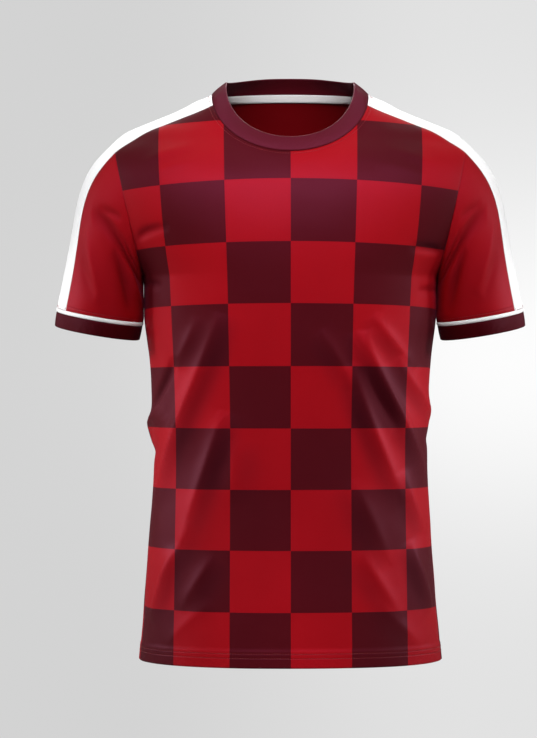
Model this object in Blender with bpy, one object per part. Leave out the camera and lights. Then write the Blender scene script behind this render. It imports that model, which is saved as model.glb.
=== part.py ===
"""Football jersey, hollow and filled out as on a figure, made from the pieces that are cut and sewn.

Metres, +Z up. The front faces -Y and +X is the wearer's left. The origin lies midway between the
shoulders, level with the sides of the neck, where the wearer carries the garment.
"""

import math
from collections import namedtuple

import bpy
import numpy as np

# Cloth and seams
KNIT_WALL = 0.0012
HEM_WALL = 0.0022
BAND_WALL = 0.0020
TAPE_WALL = 0.0010
SEAM_GAP = 0.0003
SEAM_SINK = 0.00015

# Body
HEM_HEIGHT = -0.7205
HEM_DEPTH = 0.0200
HEM_STEP = 0.0012
NECK_HALF_WIDTH = 0.1008
NECK_SIDE_HEIGHT = 0.0030
FRONT_NECK_DROP = 0.0796
BACK_NECK_RISE = 0.0080
BODY_MIDDLE = np.array([0, 0, (HEM_HEIGHT + NECK_SIDE_HEIGHT) / 2])

# Cloth from the top of the shoulder or sleeve to the white stripe's front and back edge
STRIPE_AT_NECK = {"front": 0.0350, "back": 0.0310}
STRIPE_AT_ARMHOLE = {"front": 0.0445, "back": 0.0370}
STRIPE_AT_CUFF = {"front": 0.0405, "back": 0.0350}

# Bands
COLLAR_WIDTH = 0.0205
COLLAR_SIDE_WIDTH = 0.0245
COLLAR_LEAN_FRONT = math.radians(23)
COLLAR_LEAN_SIDE = math.radians(49)
COLLAR_BULGE = 0.0012
TAPE_WIDTH = 0.0100
TAPE_DROP = 0.0008
TAPE_GAP = 0.0007
TAPE_REACH = 0.95  # share of the back neck seam that it covers
PIPING_WIDTH = 0.0050
PIPING_BULGE = 0.0005
CUFF_WIDTH = 0.0180
CUFF_TAPER = 0.985
CUFF_OUTWARD = math.radians(9.8)

# Half width of the body at each height, from the hem to the underarm
SideRow = namedtuple("SideRow", "height half_width")
SIDE_LINE = (
    SideRow(-0.7205, 0.1935),
    SideRow(-0.6600, 0.1885),
    SideRow(-0.6000, 0.1838),
    SideRow(-0.5400, 0.1795),
    SideRow(-0.4800, 0.1757),
    SideRow(-0.4200, 0.1765),
    SideRow(-0.3600, 0.1790),
    SideRow(-0.3127, 0.1836),
    SideRow(-0.2857, 0.1866),
    SideRow(-0.2600, 0.1875),
    SideRow(-0.2320, 0.1880),
)

# Depth of the body in front of and behind the side seams, and how square each half is in plan
DepthRow = namedtuple("DepthRow", "height front back front_round back_round")
DEPTHS = (
    DepthRow(-0.7205, 0.1220, 0.1170, 2.30, 2.30),
    DepthRow(-0.6000, 0.1160, 0.1070, 2.35, 2.35),
    DepthRow(-0.4800, 0.1100, 0.0990, 2.40, 2.40),
    DepthRow(-0.3600, 0.1110, 0.1030, 2.40, 2.40),
    DepthRow(-0.2600, 0.1160, 0.1110, 2.45, 2.45),
    DepthRow(-0.2000, 0.1170, 0.1140, 2.50, 2.45),
    DepthRow(-0.1500, 0.1130, 0.1130, 2.50, 2.35),
    DepthRow(-0.1100, 0.1025, 0.1080, 2.45, 2.20),
    DepthRow(-0.0766, 0.0830, 0.1010, 2.35, 2.05),
    DepthRow(-0.0500, 0.0640, 0.0930, 2.25, 1.92),
    DepthRow(-0.0250, 0.0490, 0.0830, 2.15, 1.85),
    DepthRow(-0.0050, 0.0380, 0.0750, 2.10, 1.85),
    DepthRow(0.0030, 0.0330, 0.0715, 2.10, 1.90),
    DepthRow(0.0120, 0.0280, 0.0680, 2.10, 1.95),
)

# The top of the shoulder, from inside the neck out to the armhole
RidgeRow = namedtuple("RidgeRow", "reach height")
RIDGE = (
    RidgeRow(0.0900, 0.0140),
    RidgeRow(0.1008, 0.0030),
    RidgeRow(0.1180, -0.0052),
    RidgeRow(0.1364, -0.0152),
    RidgeRow(0.1673, -0.0286),
    RidgeRow(0.1995, -0.0419),
    RidgeRow(0.2150, -0.0494),
    RidgeRow(0.2265, -0.0592),
)

# Rings down the sleeve, each between its outermost and innermost point; the first is the armhole
SleeveRow = namedtuple(
    "SleeveRow", "station outer_x outer_z inner_x inner_z front back round front_drop"
)
SLEEVE = (
    SleeveRow(0.00, 0.2265, -0.0592, 0.1880, -0.2320, 0.0700, 0.0730, 2.00, 0.0000),
    SleeveRow(0.25, 0.2535, -0.0893, 0.1888, -0.2440, 0.0665, 0.0690, 2.00, 0.0010),
    SleeveRow(0.50, 0.2725, -0.1330, 0.1890, -0.2570, 0.0630, 0.0645, 2.00, 0.0020),
    SleeveRow(0.75, 0.2839, -0.1960, 0.1890, -0.2720, 0.0600, 0.0602, 2.00, 0.0032),
    SleeveRow(1.00, 0.2994, -0.2705, 0.1888, -0.2895, 0.0565, 0.0565, 2.00, 0.0045),
)

# Soft folds of the body as curves on the flat cloth. `across` runs from the centre front, + to the
# wearer's left, on past the side seam to the centre back; a negative depth is a trough.
Fold = namedtuple("Fold", "across height across_mid height_mid across_end height_end width depth")
BODY_FOLDS = (
    Fold(-0.082, -0.385, -0.117, -0.499, -0.188, -0.655, 0.024, 0.0042),
    Fold(-0.095, -0.290, -0.135, -0.384, -0.200, -0.505, 0.022, 0.0038),
    Fold(-0.150, -0.335, -0.174, -0.380, -0.212, -0.415, 0.018, -0.0030),
    Fold(-0.128, -0.420, -0.136, -0.455, -0.150, -0.500, 0.020, -0.0030),
    Fold(-0.240, -0.205, -0.190, -0.186, -0.145, -0.168, 0.018, -0.0030),
    Fold(0.092, -0.338, 0.124, -0.389, 0.150, -0.440, 0.018, -0.0044),
    Fold(0.108, -0.335, 0.137, -0.395, 0.168, -0.455, 0.018, 0.0040),
    Fold(0.118, -0.285, 0.154, -0.344, 0.220, -0.392, 0.020, 0.0032),
    Fold(0.080, -0.375, 0.101, -0.424, 0.142, -0.505, 0.022, 0.0034),
    Fold(0.145, -0.510, 0.169, -0.548, 0.198, -0.590, 0.020, 0.0030),
    Fold(0.146, -0.580, 0.166, -0.619, 0.184, -0.660, 0.020, 0.0026),
    Fold(0.240, -0.218, 0.190, -0.204, 0.150, -0.196, 0.018, -0.0030),
    Fold(0.330, -0.385, 0.385, -0.450, 0.420, -0.560, 0.026, 0.0040),
    Fold(0.300, -0.470, 0.345, -0.530, 0.370, -0.640, 0.024, 0.0036),
    Fold(0.350, -0.330, 0.395, -0.385, 0.445, -0.425, 0.020, -0.0030),
    Fold(-0.345, -0.360, -0.392, -0.430, -0.425, -0.545, 0.026, 0.0042),
    Fold(-0.310, -0.450, -0.350, -0.520, -0.368, -0.615, 0.022, 0.0032),
    Fold(-0.370, -0.300, -0.410, -0.362, -0.455, -0.400, 0.020, -0.0030),
    Fold(0.262, -0.215, 0.315, -0.192, 0.365, -0.180, 0.020, -0.0030),
    Fold(-0.262, -0.215, -0.310, -0.195, -0.355, -0.188, 0.020, -0.0030),
)

# Folds of each sleeve: `around` in degrees from the top towards the front, `down` from 0 at the
# armhole to 1 at the cuff
SleeveFold = namedtuple(
    "SleeveFold", "around down around_mid down_mid around_end down_end width depth"
)
SLEEVE_FOLDS = {
    "right": (
        SleeveFold(60, 0.30, 91, 0.46, 134, 0.64, 14, 0.0026),
        SleeveFold(54, 0.58, 72, 0.71, 92, 0.86, 13, 0.0022),
        SleeveFold(68, 0.20, 84, 0.18, 98, 0.12, 12, -0.0020),
        SleeveFold(-60, 0.32, -92, 0.48, -130, 0.66, 15, 0.0026),
    ),
    "left": (
        SleeveFold(60, 0.38, 88, 0.50, 126, 0.69, 14, 0.0026),
        SleeveFold(52, 0.52, 83, 0.68, 115, 0.80, 13, 0.0022),
        SleeveFold(66, 0.24, 76, 0.33, 84, 0.44, 12, -0.0020),
        SleeveFold(-58, 0.36, -88, 0.52, -124, 0.70, 15, 0.0026),
    ),
}
FOLD_FADE = 0.022

# Metres of cloth for one degree round the sleeve, and for its whole length; where the stripe ends
FOLD_REACH_AROUND = 0.0011
FOLD_REACH_DOWN = 0.150
STRIPE_TURN = 40

# Cells: half columns of a panel, those that end under the arm, rows up the side and up the armhole
HALF_COLUMNS = 14
UNDERARM_COLUMNS = 3
SIDE_ROWS = 22
ARMHOLE_ROWS = 8
NECK_COLUMNS = 6
SHOULDER_COLUMNS = HALF_COLUMNS - UNDERARM_COLUMNS - NECK_COLUMNS
STRIPE_COLUMNS = 4
SLEEVE_ROWS = 10
COLLAR_ROWS = 3
TAPE_ROWS = 2
PIPING_ROWS = 2
CUFF_ROWS = 1
ARMHOLE_CELLS = ARMHOLE_ROWS + UNDERARM_COLUMNS

# How far below the top of the shoulder its edges are looked for, and how near one another the
# places lie that measure the slope of the cloth
SHOULDER_REACH = 0.06
CLOTH_STEP = 0.0001

# Samples of each curve that is measured or searched, and decimals of a metre that tell points apart
CURVE_SAMPLES = 361
QUARTER_SAMPLES = 121
FOLD_SAMPLES = 25
SAME_POINT = 6

# Closer samples near the neck's sides, how quickly a fold swells from its ends, and shading
NECK_CROWDING = 2.2
FOLD_SWELL = 0.8
SHARPEST_CORNER = 0.5
SMOOTH_BELOW = math.radians(40)

# Colour, roughness
RED = ((0.300, 0.012, 0.020, 1.0), 0.62)
MAROON = ((0.085, 0.008, 0.014, 1.0), 0.66)
WHITE = ((0.850, 0.850, 0.850, 1.0), 0.60)


def curve_through(rows, knot, value, at):
    """One column of a table, read at the places `at` of another, on a natural cubic curve."""
    knots = np.array([getattr(row, knot) for row in rows])
    values = np.array([getattr(row, value) for row in rows])
    step = np.diff(knots)
    slope = np.diff(values) / step
    matrix = np.eye(len(knots))
    bend = np.zeros(len(knots))
    for k in range(1, len(knots) - 1):
        matrix[k, k - 1 : k + 2] = step[k - 1], 2 * (step[k - 1] + step[k]), step[k]
        bend[k] = 6 * (slope[k] - slope[k - 1])
    bend = np.linalg.solve(matrix, bend)
    at = np.clip(at, knots[0], knots[-1])
    k = np.clip(np.searchsorted(knots, at) - 1, 0, len(knots) - 2)
    t = (at - knots[k]) / step[k]
    s = 1 - t
    curved = (s**3 - s) * bend[k] + (t**3 - t) * bend[k + 1]
    return s * values[k] + t * values[k + 1] + curved * step[k] ** 2 / 6


def signed_power(value, exponent):
    return np.sign(value) * np.abs(value) ** exponent


def sleeve_point(turn, station):
    """Point of the +X sleeve: turn is 0 along the top, 90 degrees in front and 180 under the arm."""
    row = {name: curve_through(SLEEVE, "station", name, station) for name in SleeveRow._fields[1:]}
    up = signed_power(np.cos(turn), 2 / row["round"])
    ahead = signed_power(np.sin(turn), 2 / row["round"])
    depth = np.where(ahead > 0, row["front"], row["back"])
    x = (row["outer_x"] + row["inner_x"]) / 2 + up * (row["outer_x"] - row["inner_x"]) / 2
    z = (row["outer_z"] + row["inner_z"]) / 2 + up * (row["outer_z"] - row["inner_z"]) / 2
    return np.stack([x, -depth * ahead, z - row["front_drop"] * ahead], axis=-1)


def ridge_height(x):
    return curve_through(RIDGE, "reach", "height", x)


def side_reach(half, height):
    """Half width of the body's surface; beside the armhole it is the width that meets the seam."""
    armhole = SLEEVE[0]
    below = curve_through(SIDE_LINE, "height", "half_width", height)
    reach = np.linspace(RIDGE[0].reach, RIDGE[-1].reach, CURVE_SAMPLES)
    above = np.interp(-height, -ridge_height(reach), reach)
    middle = (armhole.outer_z + armhole.inner_z) / 2
    up = np.clip((height - middle) / (armhole.outer_z - middle), -1, 1)
    ahead = (1 - np.abs(up) ** armhole.round) ** (1 / armhole.round)
    seam_x = (armhole.outer_x + armhole.inner_x) / 2 + up * (armhole.outer_x - armhole.inner_x) / 2
    power = curve_through(DEPTHS, "height", half + "_round", height)
    depth = curve_through(DEPTHS, "height", half, height)
    beside = seam_x / (1 - (getattr(armhole, half) * ahead / depth) ** power) ** (1 / power)
    return np.where(height < armhole.inner_z, below, np.where(height < armhole.outer_z, beside, above))


def section(half, height):
    """(half width, depth, roundness) of the front or back half of the body at a height."""
    depth = curve_through(DEPTHS, "height", half, height)
    power = curve_through(DEPTHS, "height", half + "_round", height)
    return side_reach(half, height), depth, power


def section_arcs(half, height):
    """Bearings from the centre line to the side, and the lengths of cloth up to each."""
    width, depth, power = (value[..., None] for value in section(half, height))
    bearing = np.linspace(0, math.pi / 2, QUARTER_SAMPLES)
    radius = ((np.sin(bearing) / width) ** power + (np.cos(bearing) / depth) ** power) ** (-1 / power)
    steps = np.hypot(np.diff(radius * np.sin(bearing)), np.diff(radius * np.cos(bearing)))
    return bearing, np.concatenate([np.zeros_like(steps[..., :1]), np.cumsum(steps, axis=-1)], axis=-1)


def body_point(half, across, height):
    """Point of the body's surface, `across` metres of cloth from the centre line."""
    across, height = np.broadcast_arrays(np.asarray(across, float), np.asarray(height, float))
    width, depth, power = section(half, height)
    bearings, arcs = section_arcs(half, height)
    flat = zip(np.abs(across).ravel(), arcs.reshape(-1, len(bearings)))
    bearing = np.array([np.interp(a, row, bearings) for a, row in flat]).reshape(across.shape)
    radius = ((np.sin(bearing) / width) ** power + (np.cos(bearing) / depth) ** power) ** (-1 / power)
    ahead = -1 if half == "front" else 1
    x = np.sign(across) * radius * np.sin(bearing)
    return np.stack([x, ahead * radius * np.cos(bearing), height], axis=-1)


def across_at(half, x, height):
    """Metres of cloth from the centre line to the place at x."""
    width, depth, power = section(half, height)
    y = depth * np.clip(1 - (x / width) ** power, 0, 1) ** (1 / power)
    bearings, arcs = section_arcs(half, height)
    flat = zip(np.arctan2(x, y).ravel(), arcs.reshape(-1, len(bearings)))
    return np.array([np.interp(b, bearings, row) for b, row in flat]).reshape(np.shape(height))


def side_across(half, height):
    return section_arcs(half, height)[1][..., -1]


def surface_y(half, x, height):
    width, depth, power = section(half, height)
    ahead = -1 if half == "front" else 1
    return ahead * depth * np.clip(1 - (x / width) ** power, 0, 1) ** (1 / power)


def half_ring(points, laps, stripe):
    """Points at each lap: 0 at the shoulder, 1 at the stripe's edge, 2 at the far end of `points`."""
    arcs = np.concatenate([[0], np.cumsum(np.linalg.norm(np.diff(points, axis=0), axis=1))])
    laps = np.asarray(laps, float)
    wanted = np.where(laps < 1, laps * stripe, stripe + (laps - 1) * (arcs[-1] - stripe))
    return np.stack([np.interp(wanted, arcs, points[:, k]) for k in range(3)], axis=-1)


def sleeve_ring(half, station, laps):
    """Half a ring of the +X sleeve, from the top round the front or back to under the arm."""
    turns = np.linspace(0, math.pi, CURVE_SAMPLES) * (1 if half == "front" else -1)
    stripe = STRIPE_AT_ARMHOLE[half] + (STRIPE_AT_CUFF[half] - STRIPE_AT_ARMHOLE[half]) * station
    return half_ring(sleeve_point(turns, station), laps, stripe)


def neck_ring(half, laps):
    """The collar seam of the +X side, from the shoulder to the centre front or back."""
    turn = np.linspace(0, 1, CURVE_SAMPLES) ** NECK_CROWDING
    x = NECK_HALF_WIDTH * np.sqrt(1 - turn**2)
    fall = -FRONT_NECK_DROP * turn if half == "front" else BACK_NECK_RISE * turn**2
    z = NECK_SIDE_HEIGHT + fall
    ring = np.stack([x, surface_y(half, x, z), z], axis=-1)
    ring[0, 1] = 0
    return half_ring(ring, laps, STRIPE_AT_NECK[half])


def shoulder_edge(half, lap, along):
    """A line along the shoulder at one lap, from the collar (0) to the armhole (1)."""
    neck = neck_ring(half, [lap])[0]
    arm = sleeve_ring(half, 0.0, [lap])[0]
    line = neck + (arm - neck) * np.asarray(along)[:, None]
    fall = SHOULDER_REACH * np.linspace(0, 1, CURVE_SAMPLES) ** 2
    for point in line[1:-1]:
        heights = ridge_height(point[0]) - fall
        depths = np.abs(surface_y(half, point[0], heights))
        point[2] = np.interp(abs(point[1]), depths, heights)
    return line


def coons(bottom, top, start, end, rise):
    """Grid of (across, height) between four edges; `rise` is how far up each row lies, 0 to 1."""
    u = np.linspace(0, 1, len(bottom))[None, :, None]
    v = rise[:, None, None]
    sides = (1 - u) * start[:, None] + u * end[:, None]
    corners = (1 - u) * ((1 - v) * bottom[0] + v * top[0]) + u * ((1 - v) * bottom[-1] + v * top[-1])
    return (1 - v) * bottom[None] + v * top[None] + sides - corners


def flat(half, points):
    """(across, height) on the cloth of points that lie on the body's surface."""
    return np.stack([across_at(half, points[:, 0], points[:, 2]), points[:, 2]], axis=-1)


def between(start, end, parts):
    return start + (end - start) * np.asarray(parts)[..., None]


def half_panel(half):
    """Rows of (across, height) for the +X half of a panel, centre line first, from hem to shoulder."""
    armpit = SLEEVE[0].inner_z
    laps = 1 + np.arange(ARMHOLE_CELLS + 1) / ARMHOLE_CELLS
    armhole = flat(half, sleeve_ring(half, 0.0, laps))
    armhole[-1] = side_across(half, np.array([armpit]))[0], armpit
    split = armhole[ARMHOLE_ROWS]

    # Below the armhole: the outer columns end on its lower part
    inner_columns = HALF_COLUMNS - UNDERARM_COLUMNS
    inner = between(np.array([0, split[1]]), split, np.arange(inner_columns + 1) / inner_columns)
    top = np.concatenate([inner, armhole[ARMHOLE_ROWS + 1 :]])
    hem = np.array([HEM_HEIGHT])
    ends = np.stack([np.array([0, HEM_HEIGHT]), np.array([side_across(half, hem)[0], HEM_HEIGHT])])
    bottom = between(ends[0], ends[1], np.arange(HALF_COLUMNS + 1) / HALF_COLUMNS)
    hem_top = HEM_DEPTH / (armpit - HEM_HEIGHT)
    hem_step = HEM_STEP / (armpit - HEM_HEIGHT)
    rise = np.concatenate([[0, hem_top], np.linspace(hem_top + hem_step, 1, SIDE_ROWS)])
    centre = np.stack([0 * rise, HEM_HEIGHT + (split[1] - HEM_HEIGHT) * rise], axis=-1)
    heights = HEM_HEIGHT + (armpit - HEM_HEIGHT) * rise
    side = np.stack([side_across(half, heights), heights], axis=-1)
    rows = list(coons(bottom, top, centre, side, rise))

    # Above: the armhole is the side, and the shoulder edge and neckline are the top
    neck = neck_ring(half, 2 - np.arange(NECK_COLUMNS) / NECK_COLUMNS)
    shoulder = shoulder_edge(half, 1, np.arange(SHOULDER_COLUMNS + 1) / SHOULDER_COLUMNS)
    yoke_top = np.concatenate([flat(half, neck), flat(half, shoulder)])
    yoke_top[0, 0] = 0
    rise = np.arange(ARMHOLE_ROWS + 1) / ARMHOLE_ROWS
    centre = between(inner[0], yoke_top[0], rise)
    rows += list(coons(inner, yoke_top, centre, armhole[ARMHOLE_ROWS::-1], rise))[1:]
    return rows


def fold_height(folds, places, reach):
    """How far the folds lift the cloth at `places`, each an (a, b) pair on the flat cloth."""
    lift = np.zeros(len(places))
    t = np.linspace(0, 1, FOLD_SAMPLES)[:, None]
    for fold in folds:
        start, middle, end = np.array(fold[:6]).reshape(3, 2)
        line = (1 - t) ** 2 * start + 2 * t * (1 - t) * (2 * middle - (start + end) / 2) + t**2 * end
        apart = (places[:, None] - line[None]) * reach
        distance = np.linalg.norm(apart, axis=-1)
        nearest = np.argmin(distance, axis=1)
        along = t[nearest, 0]
        taper = np.sin(np.pi * along) ** FOLD_SWELL
        closest = distance[np.arange(len(places)), nearest]
        lift += fold.depth * taper * np.exp(-((closest / (fold.width * reach[0] / 2)) ** 2))
    return lift


def fade(distance):
    """0 at a seam that stays smooth, rising to 1 at FOLD_FADE from it."""
    t = np.clip(distance / FOLD_FADE, 0, 1)
    return t * t * (3 - 2 * t)


class Sheet:
    """One piece of cloth: its outer points, faces, wall and the lift of its folds."""

    def __init__(self, rows, wall, lift=0.0):
        """`rows` are lines of points that share their middle column; a shorter row has fewer ends."""
        self.points = np.concatenate(rows)
        self.faces = []
        starts = np.cumsum([0] + [len(row) for row in rows])
        for j in range(len(rows) - 1):
            lower, upper = len(rows[j]), len(rows[j + 1])
            inset = (lower - upper) // 2
            for k in range(upper - 1):
                a = starts[j] + inset + k
                b = starts[j + 1] + k
                self.faces.append((a, a + 1, b + 1, b))
        self.wall = np.broadcast_to(wall, len(self.points)).astype(float)
        self.lift = np.broadcast_to(lift, len(self.points)).astype(float)

    def weld(self):
        """Joins points that coincide, for a piece whose rows close on themselves."""
        keys = {}
        index = [keys.setdefault(tuple(np.round(point, SAME_POINT)), len(keys)) for point in self.points]
        first = [index.index(k) for k in range(len(keys))]
        self.points = self.points[first]
        self.wall = self.wall[first]
        self.lift = self.lift[first]
        self.faces = [tuple(index[k] for k in face) for face in self.faces]
        return self

    def normals(self):
        total = np.zeros_like(self.points)
        for a, b, c, d in self.faces:
            across = np.cross(self.points[c] - self.points[a], self.points[d] - self.points[b])
            total[[a, b, c, d]] += across
        return total / np.linalg.norm(total, axis=1)[:, None]

    def rim(self):
        """Edges with cloth on one side only, each in the order its face gives."""
        edges = {}
        for face in self.faces:
            for a, b in zip(face, face[1:] + face[:1]):
                edges[(a, b)] = True
        return [edge for edge in edges if edge[::-1] not in edges]

    def pull_in(self, normals):
        """Moves the rim half a seam gap back into the cloth, and lets it sink a little."""
        outward = {}
        for a, b in self.rim():
            along = self.points[b] - self.points[a]
            for end in (a, b):
                away = np.cross(along, normals[end])
                outward.setdefault(end, []).append(away / np.linalg.norm(away))
        for end, ways in outward.items():
            corner = max(1 + ways[0] @ ways[-1], SHARPEST_CORNER)
            back = sum(ways) / corner if len(ways) > 1 else ways[0]
            self.points[end] -= back * SEAM_GAP / 2 + normals[end] * SEAM_SINK


def share_normals(sheets):
    """Normals of every sheet, averaged where sheets meet at a seam."""
    normals = [sheet.normals() for sheet in sheets]
    meeting = {}
    for s, sheet in enumerate(sheets):
        for k in {end for edge in sheet.rim() for end in edge}:
            meeting.setdefault(tuple(np.round(sheet.points[k], SAME_POINT)), []).append((s, k))
    shared = [each.copy() for each in normals]
    for members in meeting.values():
        total = sum(normals[s][k] for s, k in members)
        for s, k in members:
            shared[s][k] = total / np.linalg.norm(total)
    return normals, shared


def mirrored(sheet):
    """The same piece on the wearer's right."""
    twin = Sheet([sheet.points * (-1, 1, 1)], sheet.wall, sheet.lift)
    twin.faces = [face[::-1] for face in sheet.faces]
    return twin


def turned_out(sheet, inside):
    """Turns the faces away from a place inside the garment."""
    facing = np.sum(sheet.normals() * (sheet.points - inside))
    if facing < 0:
        sheet.faces = [face[::-1] for face in sheet.faces]
    return sheet


def seam_points(half):
    """The exact points of the +X half of a panel on its neck, shoulder and armhole seams."""
    neck = neck_ring(half, 1 + np.arange(NECK_COLUMNS + 1) / NECK_COLUMNS)
    neck[-1, 0] = 0
    shoulder = shoulder_edge(half, 1, np.arange(SHOULDER_COLUMNS + 1) / SHOULDER_COLUMNS)
    return np.concatenate([neck, shoulder, sleeve_ring(half, 0.0, ring_laps(ARMHOLE_CELLS))])


def panel_sheet(half):
    """The front or back of the body, from the hem to the shoulders."""
    rows = half_panel(half)
    whole = [np.concatenate([row[:0:-1] * (-1, 1), row]) for row in rows]
    across, height = np.concatenate(whole).T
    around = across
    if half == "back":
        far = side_across("front", height) + side_across("back", height)
        around = np.where(across < 0, -1, 1) * (far - np.abs(across))
    lift = fold_height(BODY_FOLDS, np.stack([around, height], axis=-1), np.ones(2))

    # Folds fade out at the armhole, the shoulder and the neck
    underarm = rows[SIDE_ROWS + 1][HALF_COLUMNS - UNDERARM_COLUMNS :]
    armhole = [row[-1] for row in rows if len(row) < len(rows[0])]
    edge = np.concatenate([underarm, armhole, rows[-1]])
    apart = np.stack([np.abs(across), height], axis=-1)[:, None] - edge[None]
    lift = lift * fade(np.linalg.norm(apart, axis=-1).min(axis=1))

    in_hem = height < HEM_HEIGHT + HEM_DEPTH + HEM_STEP / 4
    points = body_point(half, across, height)
    for seam in seam_points(half):
        for exact in (seam, seam * (-1, 1, 1)):
            points[np.argmin(np.linalg.norm(points - exact, axis=1))] = exact
    ends = np.cumsum([len(row) for row in whole])[:-1]
    sheet = Sheet(np.split(points, ends), np.where(in_hem, HEM_WALL, KNIT_WALL), lift)
    return turned_out(sheet, BODY_MIDDLE)


def ring_laps(cells):
    return 1 + np.arange(cells + 1) / cells


def stripe_laps():
    return np.abs(np.arange(STRIPE_COLUMNS + 1) / STRIPE_COLUMNS * 2 - 1)


def shoulder_stripe_sheet():
    along = np.arange(SHOULDER_COLUMNS + 1) / SHOULDER_COLUMNS
    lines = [
        shoulder_edge("front" if k < STRIPE_COLUMNS // 2 else "back", lap, along)
        for k, lap in enumerate(stripe_laps())
    ]
    return turned_out(Sheet(list(np.stack(lines, axis=1)), KNIT_WALL), BODY_MIDDLE)


def sleeve_rows(start, end, laps, halves):
    """Rows of points down the sleeve, from station `start` to `end`."""
    return [
        np.concatenate([sleeve_ring(half, station, laps[half]) for half in halves])
        for station in np.linspace(start, end, SLEEVE_ROWS + 1)
    ]


def sleeve_inside():
    """A place within the sleeve, halfway down it."""
    return sleeve_point(np.array([0, math.pi]), 0.5).mean(axis=0)


def sleeve_stripe_sheet():
    laps = stripe_laps()
    middle = STRIPE_COLUMNS // 2
    rows = sleeve_rows(0, 1, {"front": laps[:middle], "back": laps[middle:]}, ("front", "back"))
    return turned_out(Sheet(rows, KNIT_WALL), sleeve_inside())


def sleeve_sheet(side):
    """The sleeve from the stripe's front edge round under the arm to its back edge."""
    laps = ring_laps(ARMHOLE_CELLS)
    rows = sleeve_rows(0, 1, {"front": laps, "back": laps[-2::-1]}, ("front", "back"))
    sheet = Sheet(rows, KNIT_WALL)
    places = []
    for row, down in zip(rows, np.linspace(0, 1, SLEEVE_ROWS + 1)):
        middle = sleeve_point(np.array([0, math.pi]), down).mean(axis=0)
        top = sleeve_point(0.0, down) - middle
        up = (row - middle) @ top / (top @ top)
        around = np.degrees(np.arccos(np.clip(up, -1, 1))) * np.where(row[:, 1] < 0, 1, -1)
        places.append(np.stack([around, np.full(len(row), down)], axis=-1))
    places = np.concatenate(places)
    reach = np.array([FOLD_REACH_AROUND, FOLD_REACH_DOWN])
    lift = fold_height(SLEEVE_FOLDS[side], places, reach)
    edge = np.minimum(places[:, 1], 1 - places[:, 1]) * FOLD_REACH_DOWN
    stripe = (np.abs(places[:, 0]) - STRIPE_TURN) * FOLD_REACH_AROUND
    sheet.lift = lift * fade(edge) * fade(stripe)
    return turned_out(sheet, sleeve_inside())


def cuff_ring():
    """Points of the sleeve's lower seam, all the way round."""
    laps = ring_laps(ARMHOLE_CELLS)
    stripe = stripe_laps()
    middle = STRIPE_COLUMNS // 2
    front = np.concatenate([laps[::-1], stripe[1:middle]])
    back = np.concatenate([stripe[middle:], laps[1:]])
    return np.concatenate([sleeve_ring("front", 1.0, front), sleeve_ring("back", 1.0, back)])


def cuff_band(start, end, wall, bulge, rows):
    """A band round the sleeve's end, `start` to `end` metres below the sleeve's seam."""
    ring = cuff_ring()
    middle = sleeve_point(np.array([0, math.pi]), 1.0).mean(axis=0)
    axis = np.array([math.sin(CUFF_OUTWARD), 0, -math.cos(CUFF_OUTWARD)])
    lines = []
    for part in np.linspace(0, 1, rows + 1):
        below = start + (end - start) * part
        spread = 1 + (CUFF_TAPER - 1) * below / (PIPING_WIDTH + CUFF_WIDTH)
        line = middle + (ring - middle) * spread + axis * below
        outward = (ring - middle) / np.linalg.norm(ring - middle, axis=1)[:, None]
        lines.append(line + outward * bulge * math.sin(math.pi * part))
    return turned_out(Sheet(lines, wall).weld(), middle)


def neck_seam():
    """The collar seam, from the centre front round the wearer's left and back again."""
    laps = 1 + np.arange(NECK_COLUMNS + 1) / NECK_COLUMNS
    stripe = stripe_laps()
    middle = STRIPE_COLUMNS // 2
    front = neck_ring("front", np.concatenate([laps[::-1], stripe[1:middle]]))
    back = neck_ring("back", np.concatenate([stripe[middle:], laps[1:]]))
    left = np.concatenate([front, back])
    left[0, 0] = left[-1, 0] = 0
    return np.concatenate([left, left[-2::-1] * (-1, 1, 1)])


def collar_sheet():
    """The ribbed collar, standing up from the neck seam and leaning in towards the neck."""
    seam = neck_seam()
    plan = seam[:, :2] / np.linalg.norm(seam[:, :2], axis=1)[:, None]
    lean = COLLAR_LEAN_FRONT + (COLLAR_LEAN_SIDE - COLLAR_LEAN_FRONT) * plan[:, 0] ** 2
    rise = np.stack([-plan[:, 0] * np.sin(lean), -plan[:, 1] * np.sin(lean), np.cos(lean)], axis=-1)
    out = np.stack([plan[:, 0] * np.cos(lean), plan[:, 1] * np.cos(lean), np.sin(lean)], axis=-1)
    width = COLLAR_WIDTH + (COLLAR_SIDE_WIDTH - COLLAR_WIDTH) * plan[:, :1] ** 2
    lines = []
    for part in np.linspace(0, 1, COLLAR_ROWS + 1):
        bulge = COLLAR_BULGE * math.sin(math.pi * part)
        lines.append(seam + rise * width * part + out * bulge)
    return turned_out(Sheet(lines, BAND_WALL).weld(), seam.mean(axis=0) - (0, 0, COLLAR_WIDTH))


def tape_sheet():
    """The tape over the back neck seam, laid inside the back panel."""
    seam = neck_ring("back", 2 - TAPE_REACH * np.arange(NECK_COLUMNS + 1) / NECK_COLUMNS)
    across, height = flat("back", seam).T
    across[0] = 0
    across = np.concatenate([-across[:0:-1], across])
    height = np.concatenate([height[:0:-1], height])
    edge = body_point("back", across, height)
    lower = body_point("back", across, height - CLOTH_STEP)
    steep = np.linalg.norm(edge - lower, axis=1) / CLOTH_STEP
    lines = []
    for part in np.linspace(0, 1, TAPE_ROWS + 1):
        below = TAPE_DROP + TAPE_WIDTH * part
        at = height - below / steep
        place = body_point("back", across, at)
        down = body_point("back", across, at - CLOTH_STEP) - place
        beside = body_point("back", across + CLOTH_STEP, at) - place
        inward = np.cross(down, beside)
        inward /= np.linalg.norm(inward, axis=1)[:, None]
        lines.append(place + inward * (KNIT_WALL + TAPE_GAP))
    return turned_out(Sheet(lines, TAPE_WALL), np.array([0, -FRONT_NECK_DROP, -FRONT_NECK_DROP]))


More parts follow.
